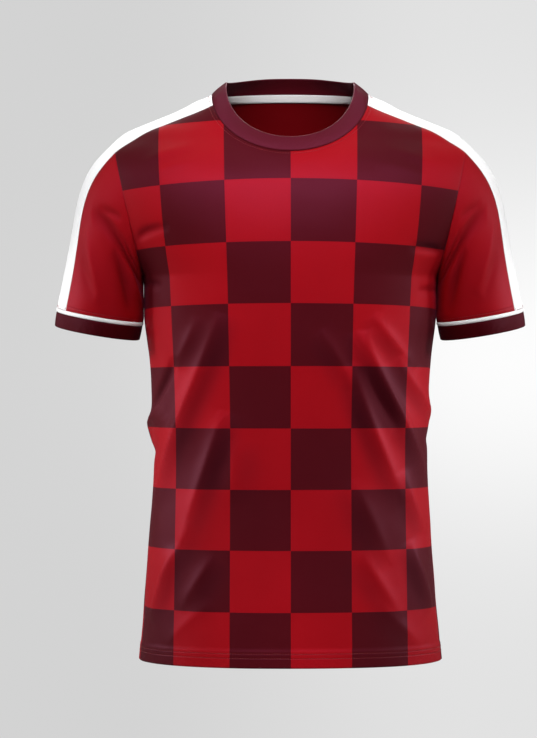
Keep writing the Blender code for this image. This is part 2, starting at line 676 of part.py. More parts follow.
def material(name, finish):
    colour, roughness = finish
    made = bpy.data.materials.new(name)
    made.use_nodes = True
    shader = made.node_tree.nodes["Principled BSDF"]
    shader.inputs["Base Color"].default_value = colour
    shader.inputs["Roughness"].default_value = roughness
    shader.inputs["Metallic"].default_value = 0.0
    return made


def triangles(points, faces):
    """Each face split along its shorter diagonal."""
    split = []
    for a, b, c, d in faces:
        if np.linalg.norm(points[a] - points[c]) <= np.linalg.norm(points[b] - points[d]):
            split += [(a, b, c), (a, c, d)]
        else:
            split += [(a, b, d), (b, c, d)]
    return split


def add_piece(name, sheet, own, shared, finish):
    """Gives a sheet its wall and adds it to the scene."""
    sheet.pull_in(own)
    outer = sheet.points
    inner = outer - shared * sheet.wall[:, None]
    count = len(outer)
    cloth = triangles(outer, sheet.faces)
    lining = [(c + count, b + count, a + count) for a, b, c in cloth]
    edging = [(b, a, a + count, b + count) for a, b in sheet.rim()]
    mesh = bpy.data.meshes.new(name)
    mesh.from_pydata(np.concatenate([outer, inner]).tolist(), [], cloth + lining + edging)
    mesh.validate()
    mesh.materials.append(finish)
    mesh.shade_smooth()
    mesh.set_sharp_from_angle(angle=SMOOTH_BELOW)
    bpy.context.scene.collection.objects.link(bpy.data.objects.new(name, mesh))


def main():
    for old in list(bpy.data.objects):
        bpy.data.objects.remove(old)
    red = material("red_knit", RED)
    maroon = material("maroon_rib", MAROON)
    white = material("white_knit", WHITE)
    shoulder = shoulder_stripe_sheet()
    sleeve_stripe = sleeve_stripe_sheet()
    piping = cuff_band(0, PIPING_WIDTH, KNIT_WALL, PIPING_BULGE, PIPING_ROWS)
    cuff = cuff_band(PIPING_WIDTH, PIPING_WIDTH + CUFF_WIDTH, BAND_WALL, 0, CUFF_ROWS)
    pieces = {
        "front_panel": (panel_sheet("front"), red),
        "back_panel": (panel_sheet("back"), red),
        "sleeve_left": (sleeve_sheet("left"), red),
        "sleeve_right": (mirrored(sleeve_sheet("right")), red),
        "shoulder_stripe_left": (shoulder, white),
        "shoulder_stripe_right": (mirrored(shoulder), white),
        "sleeve_stripe_left": (sleeve_stripe, white),
        "sleeve_stripe_right": (mirrored(sleeve_stripe), white),
        "cuff_piping_left": (piping, white),
        "cuff_piping_right": (mirrored(piping), white),
        "cuff_left": (cuff, maroon),
        "cuff_right": (mirrored(cuff), maroon),
        "collar": (collar_sheet(), maroon),
        "neck_tape": (tape_sheet(), white),
    }
    sheets = [sheet for sheet, _ in pieces.values()]
    for sheet, smooth in zip(sheets, share_normals(sheets)[1]):
        sheet.points = sheet.points + smooth * sheet.lift[:, None]
    own, shared = share_normals(sheets)
    for k, (name, (sheet, finish)) in enumerate(pieces.items()):
        add_piece(name, sheet, own[k], shared[k], finish)


main()
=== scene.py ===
import math
import bpy
import numpy as np
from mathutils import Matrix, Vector, noise
from mathutils.bvhtree import BVHTree


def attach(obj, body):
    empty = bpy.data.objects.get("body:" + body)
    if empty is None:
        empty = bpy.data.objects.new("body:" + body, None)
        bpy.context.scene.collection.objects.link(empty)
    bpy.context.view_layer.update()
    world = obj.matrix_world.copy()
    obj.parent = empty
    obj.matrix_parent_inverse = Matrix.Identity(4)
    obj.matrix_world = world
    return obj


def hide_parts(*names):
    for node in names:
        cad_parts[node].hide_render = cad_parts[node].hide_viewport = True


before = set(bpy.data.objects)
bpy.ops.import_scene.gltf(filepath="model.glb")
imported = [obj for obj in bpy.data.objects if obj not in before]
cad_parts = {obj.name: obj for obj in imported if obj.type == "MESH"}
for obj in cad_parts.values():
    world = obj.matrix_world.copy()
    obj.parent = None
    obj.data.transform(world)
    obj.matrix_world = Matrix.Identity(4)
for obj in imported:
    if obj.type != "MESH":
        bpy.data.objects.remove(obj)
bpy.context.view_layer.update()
print("frame loaded")

# ---- camera, floor, backdrop and lights


def addObject(name, data):
    added = bpy.data.objects.new(name, data)
    bpy.context.scene.collection.objects.link(added)
    return added


view = {
    "distance": 3.25,
    "height": -0.35,
    "sideways": -0.0277,
    "focal": 123.2,
}
cameraData = bpy.data.cameras.new("camera")
cameraData.lens = view["focal"]
cameraData.sensor_width = 36
cameraData.clip_end = 60
camera = addObject("camera", cameraData)
camera.location = (view["sideways"], -view["distance"], view["height"])
camera.rotation_euler = (math.pi / 2, 0, 0)
bpy.context.scene.camera = camera
bpy.context.scene.view_settings.view_transform = "Standard"

studio = {
    "floorHeight": -1.45,
    "floorRadius": 4.2,
    "floorColour": (0.80, 0.80, 0.80),
    "floorRoughness": 0.9,
    "fill": 0.19,
    # name: (place, aim, width, height, watts)
    "lamps": {
        "topLamp": ((0.0, -1.75, 2.05), (0.0, 0.0, -0.25), 0.8, 0.5, 28),
        "leftLamp": ((-2.5, 0.05, 0.35), (0.0, 0.0, -0.25), 0.7, 1.0, 14),
        "backLamp": ((0.0, 1.9, 2.4), (0.0, 0.0, -0.35), 1.4, 1.0, 70),
        "rightLamp": ((2.5, 0.05, 0.35), (0.0, 0.0, -0.25), 0.7, 1.0, 14),
    },
    # soft round pools of light, brightest at their middle: (place, aim, angle, softness, watts)
    "pools": {
        "chestPool": ((0.0, -2.10, 1.25), (0.0, 0.0, -0.095), 14, 0.15, 285),
        "middleLeftPool": ((-0.80, -1.85, 1.50), (-0.045, 0.0, -0.48), 8.0, 0.10, 138),
        "middleRightPool": ((0.80, -1.85, 1.50), (0.045, 0.0, -0.48), 8.0, 0.10, 138),
        "hemPool": ((0.0, -2.0, 1.20), (0.0, 0.0, -0.86), 7.6, 0.10, 265),
        "leftPool": ((-2.35, -0.25, 0.30), (-0.12, 0.0, -0.53), 16, 0.12, 205),
        "rightPool": ((2.35, -0.25, 0.30), (0.12, 0.0, -0.53), 16, 0.12, 205),
        "leftSleevePool": ((-1.9, -1.4, 1.2), (-0.26, 0.0, -0.17), 11, 0.12, 96),
        "rightSleevePool": ((1.9, -1.4, 1.2), (0.26, 0.0, -0.17), 11, 0.12, 96),
    },
}


def placeLamp(lamp, place, aim):
    holder = addObject(lamp.name, lamp)
    holder.location = place
    holder.rotation_euler = (Vector(aim) - Vector(place)).to_track_quat("-Z", "Y").to_euler()


def addLamp(name, place, aim, width, height, watts):
    lamp = bpy.data.lights.new(name, "AREA")
    lamp.shape = "RECTANGLE"
    lamp.size = width
    lamp.size_y = height
    lamp.energy = watts
    placeLamp(lamp, place, aim)


def addPool(name, place, aim, angle, softness, watts):
    lamp = bpy.data.lights.new(name, "SPOT")
    lamp.spot_size = math.radians(angle)
    lamp.spot_blend = 1.0
    lamp.shadow_soft_size = softness
    lamp.energy = watts
    placeLamp(lamp, place, aim)


for lampName, lampFacts in studio["lamps"].items():
    addLamp(lampName, *lampFacts)
for lampName, lampFacts in studio["pools"].items():
    addPool(lampName, *lampFacts)


def nodeOf(tree, kind, **values):
    node = tree.nodes.new(kind)
    for name, value in values.items():
        setattr(node, name, value)
    return node


def maths(tree, operation, a, b=None, c=None):
    node = nodeOf(tree, "ShaderNodeMath", operation=operation)
    for k, value in enumerate((a, b, c)):
        if value is None:
            continue
        if isinstance(value, (int, float)):
            node.inputs[k].default_value = value
        else:
            tree.links.new(value, node.inputs[k])
    return node.outputs[0]


def newFinish(name):
    finish = bpy.data.materials.new(name)
    finish.use_nodes = True
    return finish, finish.node_tree, finish.node_tree.nodes["Principled BSDF"].inputs


def smoothMask(tree, value, low, high):
    node = nodeOf(tree, "ShaderNodeMapRange", interpolation_type="SMOOTHSTEP")
    tree.links.new(value, node.inputs["Value"])
    node.inputs["From Min"].default_value = low
    node.inputs["From Max"].default_value = high
    return node.outputs["Result"]


backdrop = {
    "grey": 0.650,
    # from the darker to the lighter side: where it starts and ends, and how much lighter
    "lighterFrom": -0.07,
    "lighterTo": 0.085,
    "lighterBy": 0.105,
    # the glow: its middle and reach, sideways and up, and its strength
    "glowAt": (0.10, 0.005),
    "glowReach": (0.115, 0.070),
    "glowBy": 0.225,
    # the soft light from all round: darkest and lightest heights, lowest tone and how much it gains
    "lightFrom": -0.6,
    "lightTo": 0.9,
    "lightLow": 0.35,
    "lightGain": 0.75,
}


def makeBackdrop():
    world = bpy.data.worlds.new("studio")
    bpy.context.scene.world = world
    world.use_nodes = True
    tree = world.node_tree
    tree.nodes.clear()
    direction = nodeOf(tree, "ShaderNodeTexCoord").outputs["Generated"]
    split = nodeOf(tree, "ShaderNodeSeparateXYZ")
    tree.links.new(direction, split.inputs[0])
    x, _, z = split.outputs
    # a pale glow behind the garment's left side, fading to a cooler grey
    across = smoothMask(tree, x, backdrop["lighterFrom"], backdrop["lighterTo"])
    spread = [
        maths(tree, "POWER", maths(tree, "DIVIDE", maths(tree, "SUBTRACT", way, middle), reach), 2.0)
        for way, middle, reach in zip((x, z), backdrop["glowAt"], backdrop["glowReach"])
    ]
    glow = maths(tree, "EXPONENT", maths(tree, "MULTIPLY", maths(tree, "ADD", *spread), -1.0))
    level = maths(tree, "MULTIPLY_ADD", across, backdrop["lighterBy"], backdrop["grey"])
    level = maths(tree, "MULTIPLY_ADD", glow, backdrop["glowBy"], level)
    seen = nodeOf(tree, "ShaderNodeBackground")
    tree.links.new(level, seen.inputs["Color"])
    light = nodeOf(tree, "ShaderNodeBackground")
    above = smoothMask(tree, z, backdrop["lightFrom"], backdrop["lightTo"])
    tone = maths(tree, "MULTIPLY_ADD", above, backdrop["lightGain"], backdrop["lightLow"])
    tree.links.new(tone, light.inputs["Color"])
    light.inputs["Strength"].default_value = studio["fill"]
    mix = nodeOf(tree, "ShaderNodeMixShader")
    tree.links.new(nodeOf(tree, "ShaderNodeLightPath").outputs["Is Camera Ray"], mix.inputs["Fac"])
    tree.links.new(light.outputs[0], mix.inputs[1])
    tree.links.new(seen.outputs[0], mix.inputs[2])
    tree.links.new(mix.outputs[0], nodeOf(tree, "ShaderNodeOutputWorld").inputs["Surface"])


makeBackdrop()
bpy.ops.object.select_all(action="DESELECT")
bpy.ops.mesh.primitive_circle_add(
    vertices=96, radius=studio["floorRadius"], fill_type="NGON", location=(0, 0, studio["floorHeight"])
)
floor = bpy.context.object
floor.name = "floor"
floorFinish, _, floorShader = newFinish("paleFloor")
floorShader["Base Color"].default_value = (*studio["floorColour"], 1)
floorShader["Roughness"].default_value = studio["floorRoughness"]
floor.data.materials.append(floorFinish)
print("studio ready")

# ---- the worn form, shared by every piece

body = {
    "hem": -0.7205,
    "neckHalfWidth": 0.1008,
    "neckSide": 0.0030,
    "frontNeckDrop": 0.0796,
    "backNeckRise": 0.0080,
    # how far below its top a line along the shoulder is looked for
    "shoulderSearch": 0.06,
    # height, half width
    "sideLine": (
        (-0.7205, 0.1935), (-0.6600, 0.1885), (-0.6000, 0.1838), (-0.5400, 0.1795), (-0.4800, 0.1757),
        (-0.4200, 0.1765), (-0.3600, 0.1790), (-0.3127, 0.1836), (-0.2857, 0.1866), (-0.2600, 0.1875),
        (-0.2320, 0.1880),
    ),
    # height, depth in front, depth behind, roundness in front, roundness behind
    "depths": (
        (-0.7205, 0.1220, 0.1170, 2.30, 2.30), (-0.6000, 0.1160, 0.1070, 2.35, 2.35),
        (-0.4800, 0.1100, 0.0990, 2.40, 2.40), (-0.3600, 0.1110, 0.1030, 2.40, 2.40),
        (-0.2600, 0.1160, 0.1110, 2.45, 2.45), (-0.2000, 0.1170, 0.1140, 2.50, 2.45),
        (-0.1500, 0.1130, 0.1130, 2.50, 2.35), (-0.1100, 0.1025, 0.1080, 2.45, 2.20),
        (-0.0766, 0.0830, 0.1010, 2.35, 2.05), (-0.0500, 0.0640, 0.0930, 2.25, 1.92),
        (-0.0250, 0.0490, 0.0830, 2.15, 1.85), (-0.0050, 0.0380, 0.0750, 2.10, 1.85),
        (0.0030, 0.0330, 0.0715, 2.10, 1.90), (0.0120, 0.0280, 0.0680, 2.10, 1.95),
    ),
    # distance from the centre, height of the top of the shoulder
    "shoulderTop": (
        (0.0900, 0.0140), (0.1008, 0.0030), (0.1180, -0.0052), (0.1364, -0.0152),
        (0.1673, -0.0286), (0.1995, -0.0419), (0.2150, -0.0494), (0.2265, -0.0592),
    ),
}
sleeve = {
    # station, outer x, outer z, inner x, inner z, depth in front, behind, roundness, drop of the front
    "rings": (
        (0.00, 0.2265, -0.0592, 0.1880, -0.2320, 0.0700, 0.0730, 2.00, 0.0000),
        (0.25, 0.2535, -0.0893, 0.1888, -0.2440, 0.0665, 0.0690, 2.00, 0.0010),
        (0.50, 0.2725, -0.1330, 0.1890, -0.2570, 0.0630, 0.0645, 2.00, 0.0020),
        (0.75, 0.2839, -0.1960, 0.1890, -0.2720, 0.0600, 0.0602, 2.00, 0.0032),
        (1.00, 0.2994, -0.2705, 0.1888, -0.2895, 0.0565, 0.0565, 2.00, 0.0045),
    ),
    # metres of cloth for one degree round, and for the whole length
    "reachRound": 0.0011,
    "reachDown": 0.150,
    "stripeTurn": 40,
}
# cloth from the top of the shoulder or sleeve to the stripe's front and back edge
stripe = {
    "neck": {"front": 0.0350, "back": 0.0310},
    "armhole": {"front": 0.0445, "back": 0.0370},
    "cuff": {"front": 0.0405, "back": 0.0350},
}
# numbers of cells, and the width of the narrow cell beside a seam as a share of its line
mesh = {
    "neck": 40,
    "shoulder": 40,
    "armhole": 45,
    "underarm": 16,
    "side": 172,
    "stripe": 24,
    "sleeve": 56,
    "narrow": 0.0075,
    "narrowShoulder": 0.012,
    "narrowStripe": 0.018,
    "narrowSleeve": 0.010,
    # heights over the edge of the rows of cells in the hem, and where the even rows start
    "hemRows": (0, 0.0012, 0.0035, 0.0065, 0.0095, 0.0125, 0.0155, 0.0182, 0.0200, 0.0212),
    "hemTop": 0.0240,
    # steps in which curves are measured
    "arcSteps": 121,
    "ringSteps": 721,
    "neckCloser": 2.2,
    "reachSteps": 400,
    "shoulderSteps": 241,
}


def readCurve(table, column, at):
    # a natural cubic curve through one column of a table
    table = np.asarray(table, float)
    knots, values = table[:, 0], table[:, column]
    step = np.diff(knots)
    slope = np.diff(values) / step
    matrix = np.eye(len(knots))
    bend = np.zeros(len(knots))
    for k in range(1, len(knots) - 1):
        matrix[k, k - 1 : k + 2] = step[k - 1], 2 * (step[k - 1] + step[k]), step[k]
        bend[k] = 6 * (slope[k] - slope[k - 1])
    bend = np.linalg.solve(matrix, bend)
    at = np.clip(at, knots[0], knots[-1])
    k = np.clip(np.searchsorted(knots, at) - 1, 0, len(knots) - 2)
    t = (at - knots[k]) / step[k]
    s = 1 - t
    curved = (s**3 - s) * bend[k] + (t**3 - t) * bend[k + 1]
    return s * values[k] + t * values[k + 1] + curved * step[k] ** 2 / 6


def lengthsAlong(line):
    steps = np.linalg.norm(np.diff(line, axis=0), axis=1)
    return np.concatenate([[0], np.cumsum(steps)])


def pointsAlong(line, wanted):
    lengths = lengthsAlong(line)
    return np.stack([np.interp(wanted, lengths, line[:, k]) for k in range(3)], axis=-1)


def signedPower(value, exponent):
    return np.sign(value) * np.abs(value) ** exponent


def sleevePoint(turn, station):
    # turn is 0 along the top of the left sleeve, 90 degrees in front and 180 under the arm
    outerX, outerZ, innerX, innerZ, front, back, roundness, drop = (
        readCurve(sleeve["rings"], column, station) for column in range(1, 9)
    )
    up = signedPower(np.cos(turn), 2 / roundness)
    ahead = signedPower(np.sin(turn), 2 / roundness)
    depth = np.where(ahead > 0, front, back)
    x = (outerX + innerX) / 2 + up * (outerX - innerX) / 2
    z = (outerZ + innerZ) / 2 + up * (outerZ - innerZ) / 2
    return np.stack([x, -depth * ahead, z - drop * ahead], axis=-1)


def sleeveMiddle(station):
    return sleevePoint(np.array([0, math.pi]), station).mean(axis=0)


def shoulderTop(x):
    return readCurve(body["shoulderTop"], 1, x)


def depthOf(half, height):
    return readCurve(body["depths"], 1 if half == "front" else 2, height)


def roundOf(half, height):
    return readCurve(body["depths"], 3 if half == "front" else 4, height)


def sideReach(half, height):
    # half width of the body; beside the armhole it is the width that meets the seam
    outerX, outerZ, innerX, innerZ, front, back, roundness = sleeve["rings"][0][1:8]
    below = readCurve(body["sideLine"], 1, height)
    reach = np.linspace(body["shoulderTop"][0][0], body["shoulderTop"][-1][0], mesh["reachSteps"])
    above = np.interp(-height, -shoulderTop(reach), reach)
    middle = (outerZ + innerZ) / 2
    up = np.clip((height - middle) / (outerZ - middle), -1, 1)
    ahead = (1 - np.abs(up) ** roundness) ** (1 / roundness)
    seamX = (outerX + innerX) / 2 + up * (outerX - innerX) / 2
    power = roundOf(half, height)
    armDepth = front if half == "front" else back
    beside = seamX / (1 - (armDepth * ahead / depthOf(half, height)) ** power) ** (1 / power)
    return np.where(height < innerZ, below, np.where(height < outerZ, beside, above))


def section(half, height):
    return sideReach(half, height), depthOf(half, height), roundOf(half, height)


def radiusAt(width, depth, power, bearing):
    return ((np.sin(bearing) / width) ** power + (np.cos(bearing) / depth) ** power) ** (-1 / power)


def sectionArcs(half, height):
    width, depth, power = (value[..., None] for value in section(half, height))
    bearing = np.linspace(0, math.pi / 2, mesh["arcSteps"])
    radius = radiusAt(width, depth, power, bearing)
    steps = np.hypot(np.diff(radius * np.sin(bearing)), np.diff(radius * np.cos(bearing)))
    return bearing, np.concatenate([np.zeros_like(steps[..., :1]), np.cumsum(steps, axis=-1)], axis=-1)


def bodyPoint(half, across, height):
    # the point of the form that lies `across` metres of cloth from the centre line
    across, height = np.broadcast_arrays(np.asarray(across, float), np.asarray(height, float))
    width, depth, power = section(half, height)
    bearings, arcs = sectionArcs(half, height)
    flat = zip(np.abs(across).ravel(), arcs.reshape(-1, len(bearings)))
    bearing = np.array([np.interp(a, row, bearings) for a, row in flat]).reshape(across.shape)
    radius = radiusAt(width, depth, power, bearing)
    ahead = -1 if half == "front" else 1
    x = np.sign(across) * radius * np.sin(bearing)
    return np.stack([x, ahead * radius * np.cos(bearing), height], axis=-1)


def acrossAt(half, x, height):
    width, depth, power = section(half, height)
    y = depth * np.clip(1 - (x / width) ** power, 0, 1) ** (1 / power)
    bearings, arcs = sectionArcs(half, height)
    flat = zip(np.arctan2(x, y).ravel(), arcs.reshape(-1, len(bearings)))
    return np.array([np.interp(b, bearings, row) for b, row in flat]).reshape(np.shape(height))


def sideAcross(half, height):
    return sectionArcs(half, height)[1][..., -1]


def surfaceY(half, x, height):
    width, depth, power = section(half, height)
    ahead = -1 if half == "front" else 1
    return ahead * depth * np.clip(1 - (x / width) ** power, 0, 1) ** (1 / power)


def halfRing(points, laps, stripeReach):
    # lap 0 at the shoulder, 1 at the stripe's edge, 2 at the far end
    laps = np.asarray(laps, float)
    beyond = lengthsAlong(points)[-1] - stripeReach
    return pointsAlong(points, np.where(laps < 1, laps * stripeReach, stripeReach + (laps - 1) * beyond))


def sleeveRing(half, station, laps):
    turns = np.linspace(0, math.pi, mesh["ringSteps"]) * (1 if half == "front" else -1)
    reach = stripe["armhole"][half] + (stripe["cuff"][half] - stripe["armhole"][half]) * station
    return halfRing(sleevePoint(turns, station), laps, reach)


def neckRing(half, laps):
    # the steps lie closer where the neckline turns over the shoulder
    turn = np.linspace(0, 1, mesh["ringSteps"]) ** mesh["neckCloser"]
    x = body["neckHalfWidth"] * np.sqrt(1 - turn**2)
    fall = -body["frontNeckDrop"] * turn if half == "front" else body["backNeckRise"] * turn**2
    z = body["neckSide"] + fall
    ring = np.stack([x, surfaceY(half, x, z), z], axis=-1)
    ring[0, 1] = 0
    return halfRing(ring, laps, stripe["neck"][half])


def shoulderEdge(half, lap, along):
    # a line along the shoulder at one lap, from the collar (0) to the armhole (1)
    neck = neckRing(half, [lap])[0]
    arm = sleeveRing(half, 0.0, [lap])[0]
    line = neck + (arm - neck) * np.asarray(along)[:, None]
    fall = body["shoulderSearch"] * np.linspace(0, 1, mesh["shoulderSteps"]) ** 2
    for point in line[1:-1]:
        heights = shoulderTop(point[0]) - fall
        depths = np.abs(surfaceY(half, point[0], heights))
        point[2] = np.interp(abs(point[1]), depths, heights)
    return line


def parts(count, first=0.0, last=0.0):
    # 0 to 1 in `count` cells, with a narrow first or last one
    start, end = int(first > 0), int(last > 0)
    middle = np.linspace(first, 1 - last, count + 1 - start - end)
    return np.concatenate([np.zeros(start), middle, np.ones(end)])


def armholeLaps():
    narrow = mesh["narrow"]
    return 1 + parts(mesh["armhole"] + mesh["underarm"], narrow, narrow)


def neckLaps():
    return 1 + parts(mesh["neck"], mesh["narrow"])


def shoulderParts():
    return parts(mesh["shoulder"], mesh["narrowShoulder"], mesh["narrowShoulder"])


def stripeLaps():
    # front edge, over the top, to the back edge
    return np.abs(parts(mesh["stripe"], mesh["narrowStripe"], mesh["narrowStripe"]) * 2 - 1)


def ringLaps(laps):
    # for the front and the back of a ring: from the far end of the front, over the stripe, to the back
    edge, half = stripeLaps(), mesh["stripe"] // 2
    return np.concatenate([laps[::-1], edge[1:half]]), np.concatenate([edge[half:], laps[1:]])


def coons(bottom, top, start, end, rise):
    # rows of places between four edges
    u = np.linspace(0, 1, len(bottom))[None, :, None]
    v = rise[:, None, None]
    sides = (1 - u) * start[:, None] + u * end[:, None]
    corners = (1 - u) * ((1 - v) * bottom[0] + v * top[0]) + u * ((1 - v) * bottom[-1] + v * top[-1])
    return (1 - v) * bottom[None] + v * top[None] + sides - corners


def flat(half, points):
    return np.stack([acrossAt(half, points[:, 0], points[:, 2]), points[:, 2]], axis=-1)


def between(start, end, share):
    return start + (end - start) * np.asarray(share)[..., None]


def halfPanel(half):
    # rows of (across, height) for the left half, centre line first, from hem to shoulder
    hem, armpit = body["hem"], sleeve["rings"][0][4]
    armhole = flat(half, sleeveRing(half, 0.0, armholeLaps()))
    armhole[-1] = sideAcross(half, np.array([armpit]))[0], armpit
    split = armhole[mesh["armhole"]]
    innerColumns = mesh["neck"] + mesh["shoulder"]
    columns = innerColumns + mesh["underarm"]

    inner = between(np.array([0, split[1]]), split, parts(innerColumns, 0, mesh["narrow"]))
    top = np.concatenate([inner, armhole[mesh["armhole"] + 1 :]])
    ends = np.array([[0, hem], [sideAcross(half, np.array([hem]))[0], hem]])
    bottom = between(ends[0], ends[1], parts(columns, 0, mesh["narrow"]))
    even = np.linspace(mesh["hemTop"] / (armpit - hem), 1, mesh["side"])
    rise = np.concatenate([np.array(mesh["hemRows"]) / (armpit - hem), even])
    centre = np.stack([0 * rise, hem + (split[1] - hem) * rise], axis=-1)
    heights = hem + (armpit - hem) * rise
    side = np.stack([sideAcross(half, heights), heights], axis=-1)
    rows = list(coons(bottom, top, centre, side, rise))

    neck = neckRing(half, neckLaps()[::-1])
    shoulder = shoulderEdge(half, 1, shoulderParts())
    yokeTop = np.concatenate([flat(half, neck[:-1]), flat(half, shoulder)])
    yokeTop[0, 0] = 0
    laps = armholeLaps()[mesh["armhole"] :: -1]
    rise = (laps[0] - laps) / (laps[0] - laps[-1])
    centre = between(inner[0], yokeTop[0], rise)
    return rows + list(coons(inner, yokeTop, centre, armhole[mesh["armhole"] :: -1], rise))[1:]


# ---- folds

# Each crease is a curve on the flat cloth from its upper end: across and height at its start, middle and
# end, then its half width and its height, all in millimetres, and how long its hollow side is, as a share:
# + where that lies towards the wearer's left of the way down, - towards the right, 0 for a plain wave. A
# plain wave with a negative height is a hollow. Across runs from the centre front on past the side seam to
# the centre back, + on the wearer's left.
bodyFolds = (
    # front, right side
    (-89, -279, -130, -379, -202, -523, 7.5, 7.5, 1),
    (-84, -401, -110, -476, -143, -567, 7.5, 6, 0.9),
    (-118, -284, -133, -315, -152, -346, 6, 3.3, 0.7),
    (-153, -334, -175, -371, -226, -415, 6, -5.1, 0),
    (-183, -394, -226, -421, -225, -451, 8, 4.5, 0),
    (-99, -583, -118, -613, -144, -652, 7.5, 3.9, 0.7),
    (-154, -575, -174, -618, -200, -668, 7, 5.1, 0.8),
    (-127, -539, -147, -575, -179, -619, 7, 3, 0.7),
    (-68, -438, -72, -476, -75, -519, 9, 2.4, 0.8),
    (-167, -697, -132, -666, -99, -638, 8, 2.4, 0.5),
    (-221, -195, -187, -178, -153, -173, 5, -4.8, 0),
    (-241, -242, -199, -242, -172, -246, 4.8, -2.4, 0),
    (-165, -404, -218, -415, -270, -425, 15, 2.9, 0),
    (-185, -450, -228, -456, -275, -461, 9.5, -2.2, 0),
    # front, left side
    (190, -392, 235, -405, 290, -412, 14, 3.4, 0),
    (195, -442, 235, -438, 280, -434, 9, -2.2, 0),
    (77, -341, 106, -426, 151, -520, 7, 6.6, -0.9),
    (92, -301, 122, -371, 200, -491, 7.5, 9.3, -1),
    (95, -346, 116, -389, 142, -432, 7.5, -4.5, 0),
    (104, -281, 128, -311, 168, -349, 7, 4.2, -0.7),
    (36, -302, 59, -336, 78, -376, 6.5, 3.3, -0.7),
    (139, -334, 167, -369, 226, -413, 7, 4.2, -0.7),
    (147, -477, 164, -515, 189, -557, 7, 4.5, -0.8),
    (77, -488, 103, -538, 130, -596, 9, 3.3, -0.8),
    (89, -578, 113, -616, 145, -662, 8.5, 3.9, -0.7),
    (159, -565, 177, -606, 205, -658, 7, 5.7, -0.8),
    (113, -645, 141, -669, 178, -701, 8, 2.4, -0.5),
    (254, -209, 194, -200, 152, -198, 5, -4.8, 0),
    (241, -251, 197, -250, 170, -252, 4.8, -2.5, 0),
    # shoulders, just under the stripes
    (-196, -96, -160, -78, -120, -68, 6, 1.5, 0.4),
    (-186, -112, -150, -97, -112, -88, 6, 1.4, 0.4),
    (194, -100, 158, -82, 118, -72, 6, 1.5, -0.4),
    (180, -116, 144, -100, 108, -92, 6, 1.4, -0.4),
    # back, left side
    (430, -286, 395, -380, 330, -500, 8, 6.2, 0.9),
    (445, -400, 415, -480, 372, -580, 8, 4.8, 0.8),
    (350, -300, 325, -345, 290, -385, 7, 3.4, 0.7),
    (385, -560, 360, -610, 325, -668, 8.5, 4, 0.8),
    (350, -480, 326, -530, 296, -590, 7, 4, 0.7),
    (262, -215, 315, -200, 366, -192, 6, 4.6, -0.8),
    (300, -105, 350, -86, 405, -80, 6.5, 1.5, 0.4),
    # back, right side
    (-420, -300, -392, -392, -322, -522, 8, 5.8, -1),
    (-455, -420, -418, -500, -366, -604, 8.5, 4.4, -0.8),
    (-362, -282, -330, -330, -288, -372, 7, 3, -0.7),
    (-400, -590, -374, -632, -340, -680, 8, 3.4, -0.8),
    (-340, -450, -318, -505, -294, -560, 7, 3.6, -0.7),
    (-262, -215, -310, -204, -356, -200, 6, 4.2, 0.8),
    (-306, -112, -352, -94, -400, -86, 6.5, 1.5, -0.4),
)
# The same for each sleeve, but the places are degrees round from the top towards the front, and 0 at the
# armhole to 1 at the cuff.
sleeveFolds = {
    "right": (
        (64, 0.36, 79, 0.25, 94, 0.11, 4.2, -3, 0),
        (58, 0.46, 98, 0.32, 166, 0.26, 8.8, -6.2, 0),
        (80, 0.37, 108, 0.28, 150, 0.17, 3.6, 2.2, 0),
        (100, 0.23, 120, 0.2, 154, 0.13, 4.2, -3, 0),
        (52, 0.56, 72, 0.71, 94, 0.88, 7, 3.6, 0.6),
        (54, 0.74, 68, 0.81, 84, 0.89, 5, -2.2, 0),
        (98, 0.44, 124, 0.58, 140, 0.92, 12, -5.6, 0),
        (124, 0.3, 144, 0.49, 172, 0.8, 7.5, 3.7, 0.5),
        (-60, 0.3, -92, 0.47, -132, 0.66, 8, 4.8, -0.6),
        (-56, 0.6, -78, 0.72, -102, 0.88, 7.5, 3.7, -0.6),
        (-128, 0.28, -146, 0.5, -170, 0.76, 7.5, 3.4, -0.5),
    ),
    "left": (
        (62, 0.33, 77, 0.24, 93, 0.12, 4.2, -2.7, 0),
        (60, 0.43, 99, 0.3, 165, 0.24, 8.6, -5.8, 0),
        (82, 0.35, 109, 0.26, 152, 0.15, 3.6, 2.4, 0),
        (98, 0.21, 119, 0.18, 155, 0.12, 4, -2.8, 0),
        (51, 0.51, 76, 0.68, 100, 0.84, 7, 3.4, 0.6),
        (57, 0.7, 72, 0.78, 88, 0.87, 5.4, -2, 0),
        (100, 0.43, 126, 0.55, 141, 0.9, 12, -5.3, 0),
        (-58, 0.35, -88, 0.51, -126, 0.7, 8, 4.8, -0.6),
        (-54, 0.56, -80, 0.7, -108, 0.84, 7.5, 3.7, -0.6),
        (-126, 0.2, -142, 0.36, -166, 0.6, 7.5, 3.4, -0.5),
    ),
}
foldFade = {"seam": 0.020, "stripe": 0.012}
# the section of a crease, in its half widths
crest = {
    "round": 0.35,
    "quick": 1.1,
    "share": 0.85,
    "slow": 3.5,
    "long": 2.6,
    "reach": 7.0,
    # how its height falls off to its ends, and how blunt a plain wave is
    "taper": 0.8,
    "blunt": 1.8,
    # the painted shade beside it, and the height in metres that makes it darkest
    "shadeAt": 2.1,
    "shadeWidth": 1.7,
    "shadeHeight": 0.006,
}


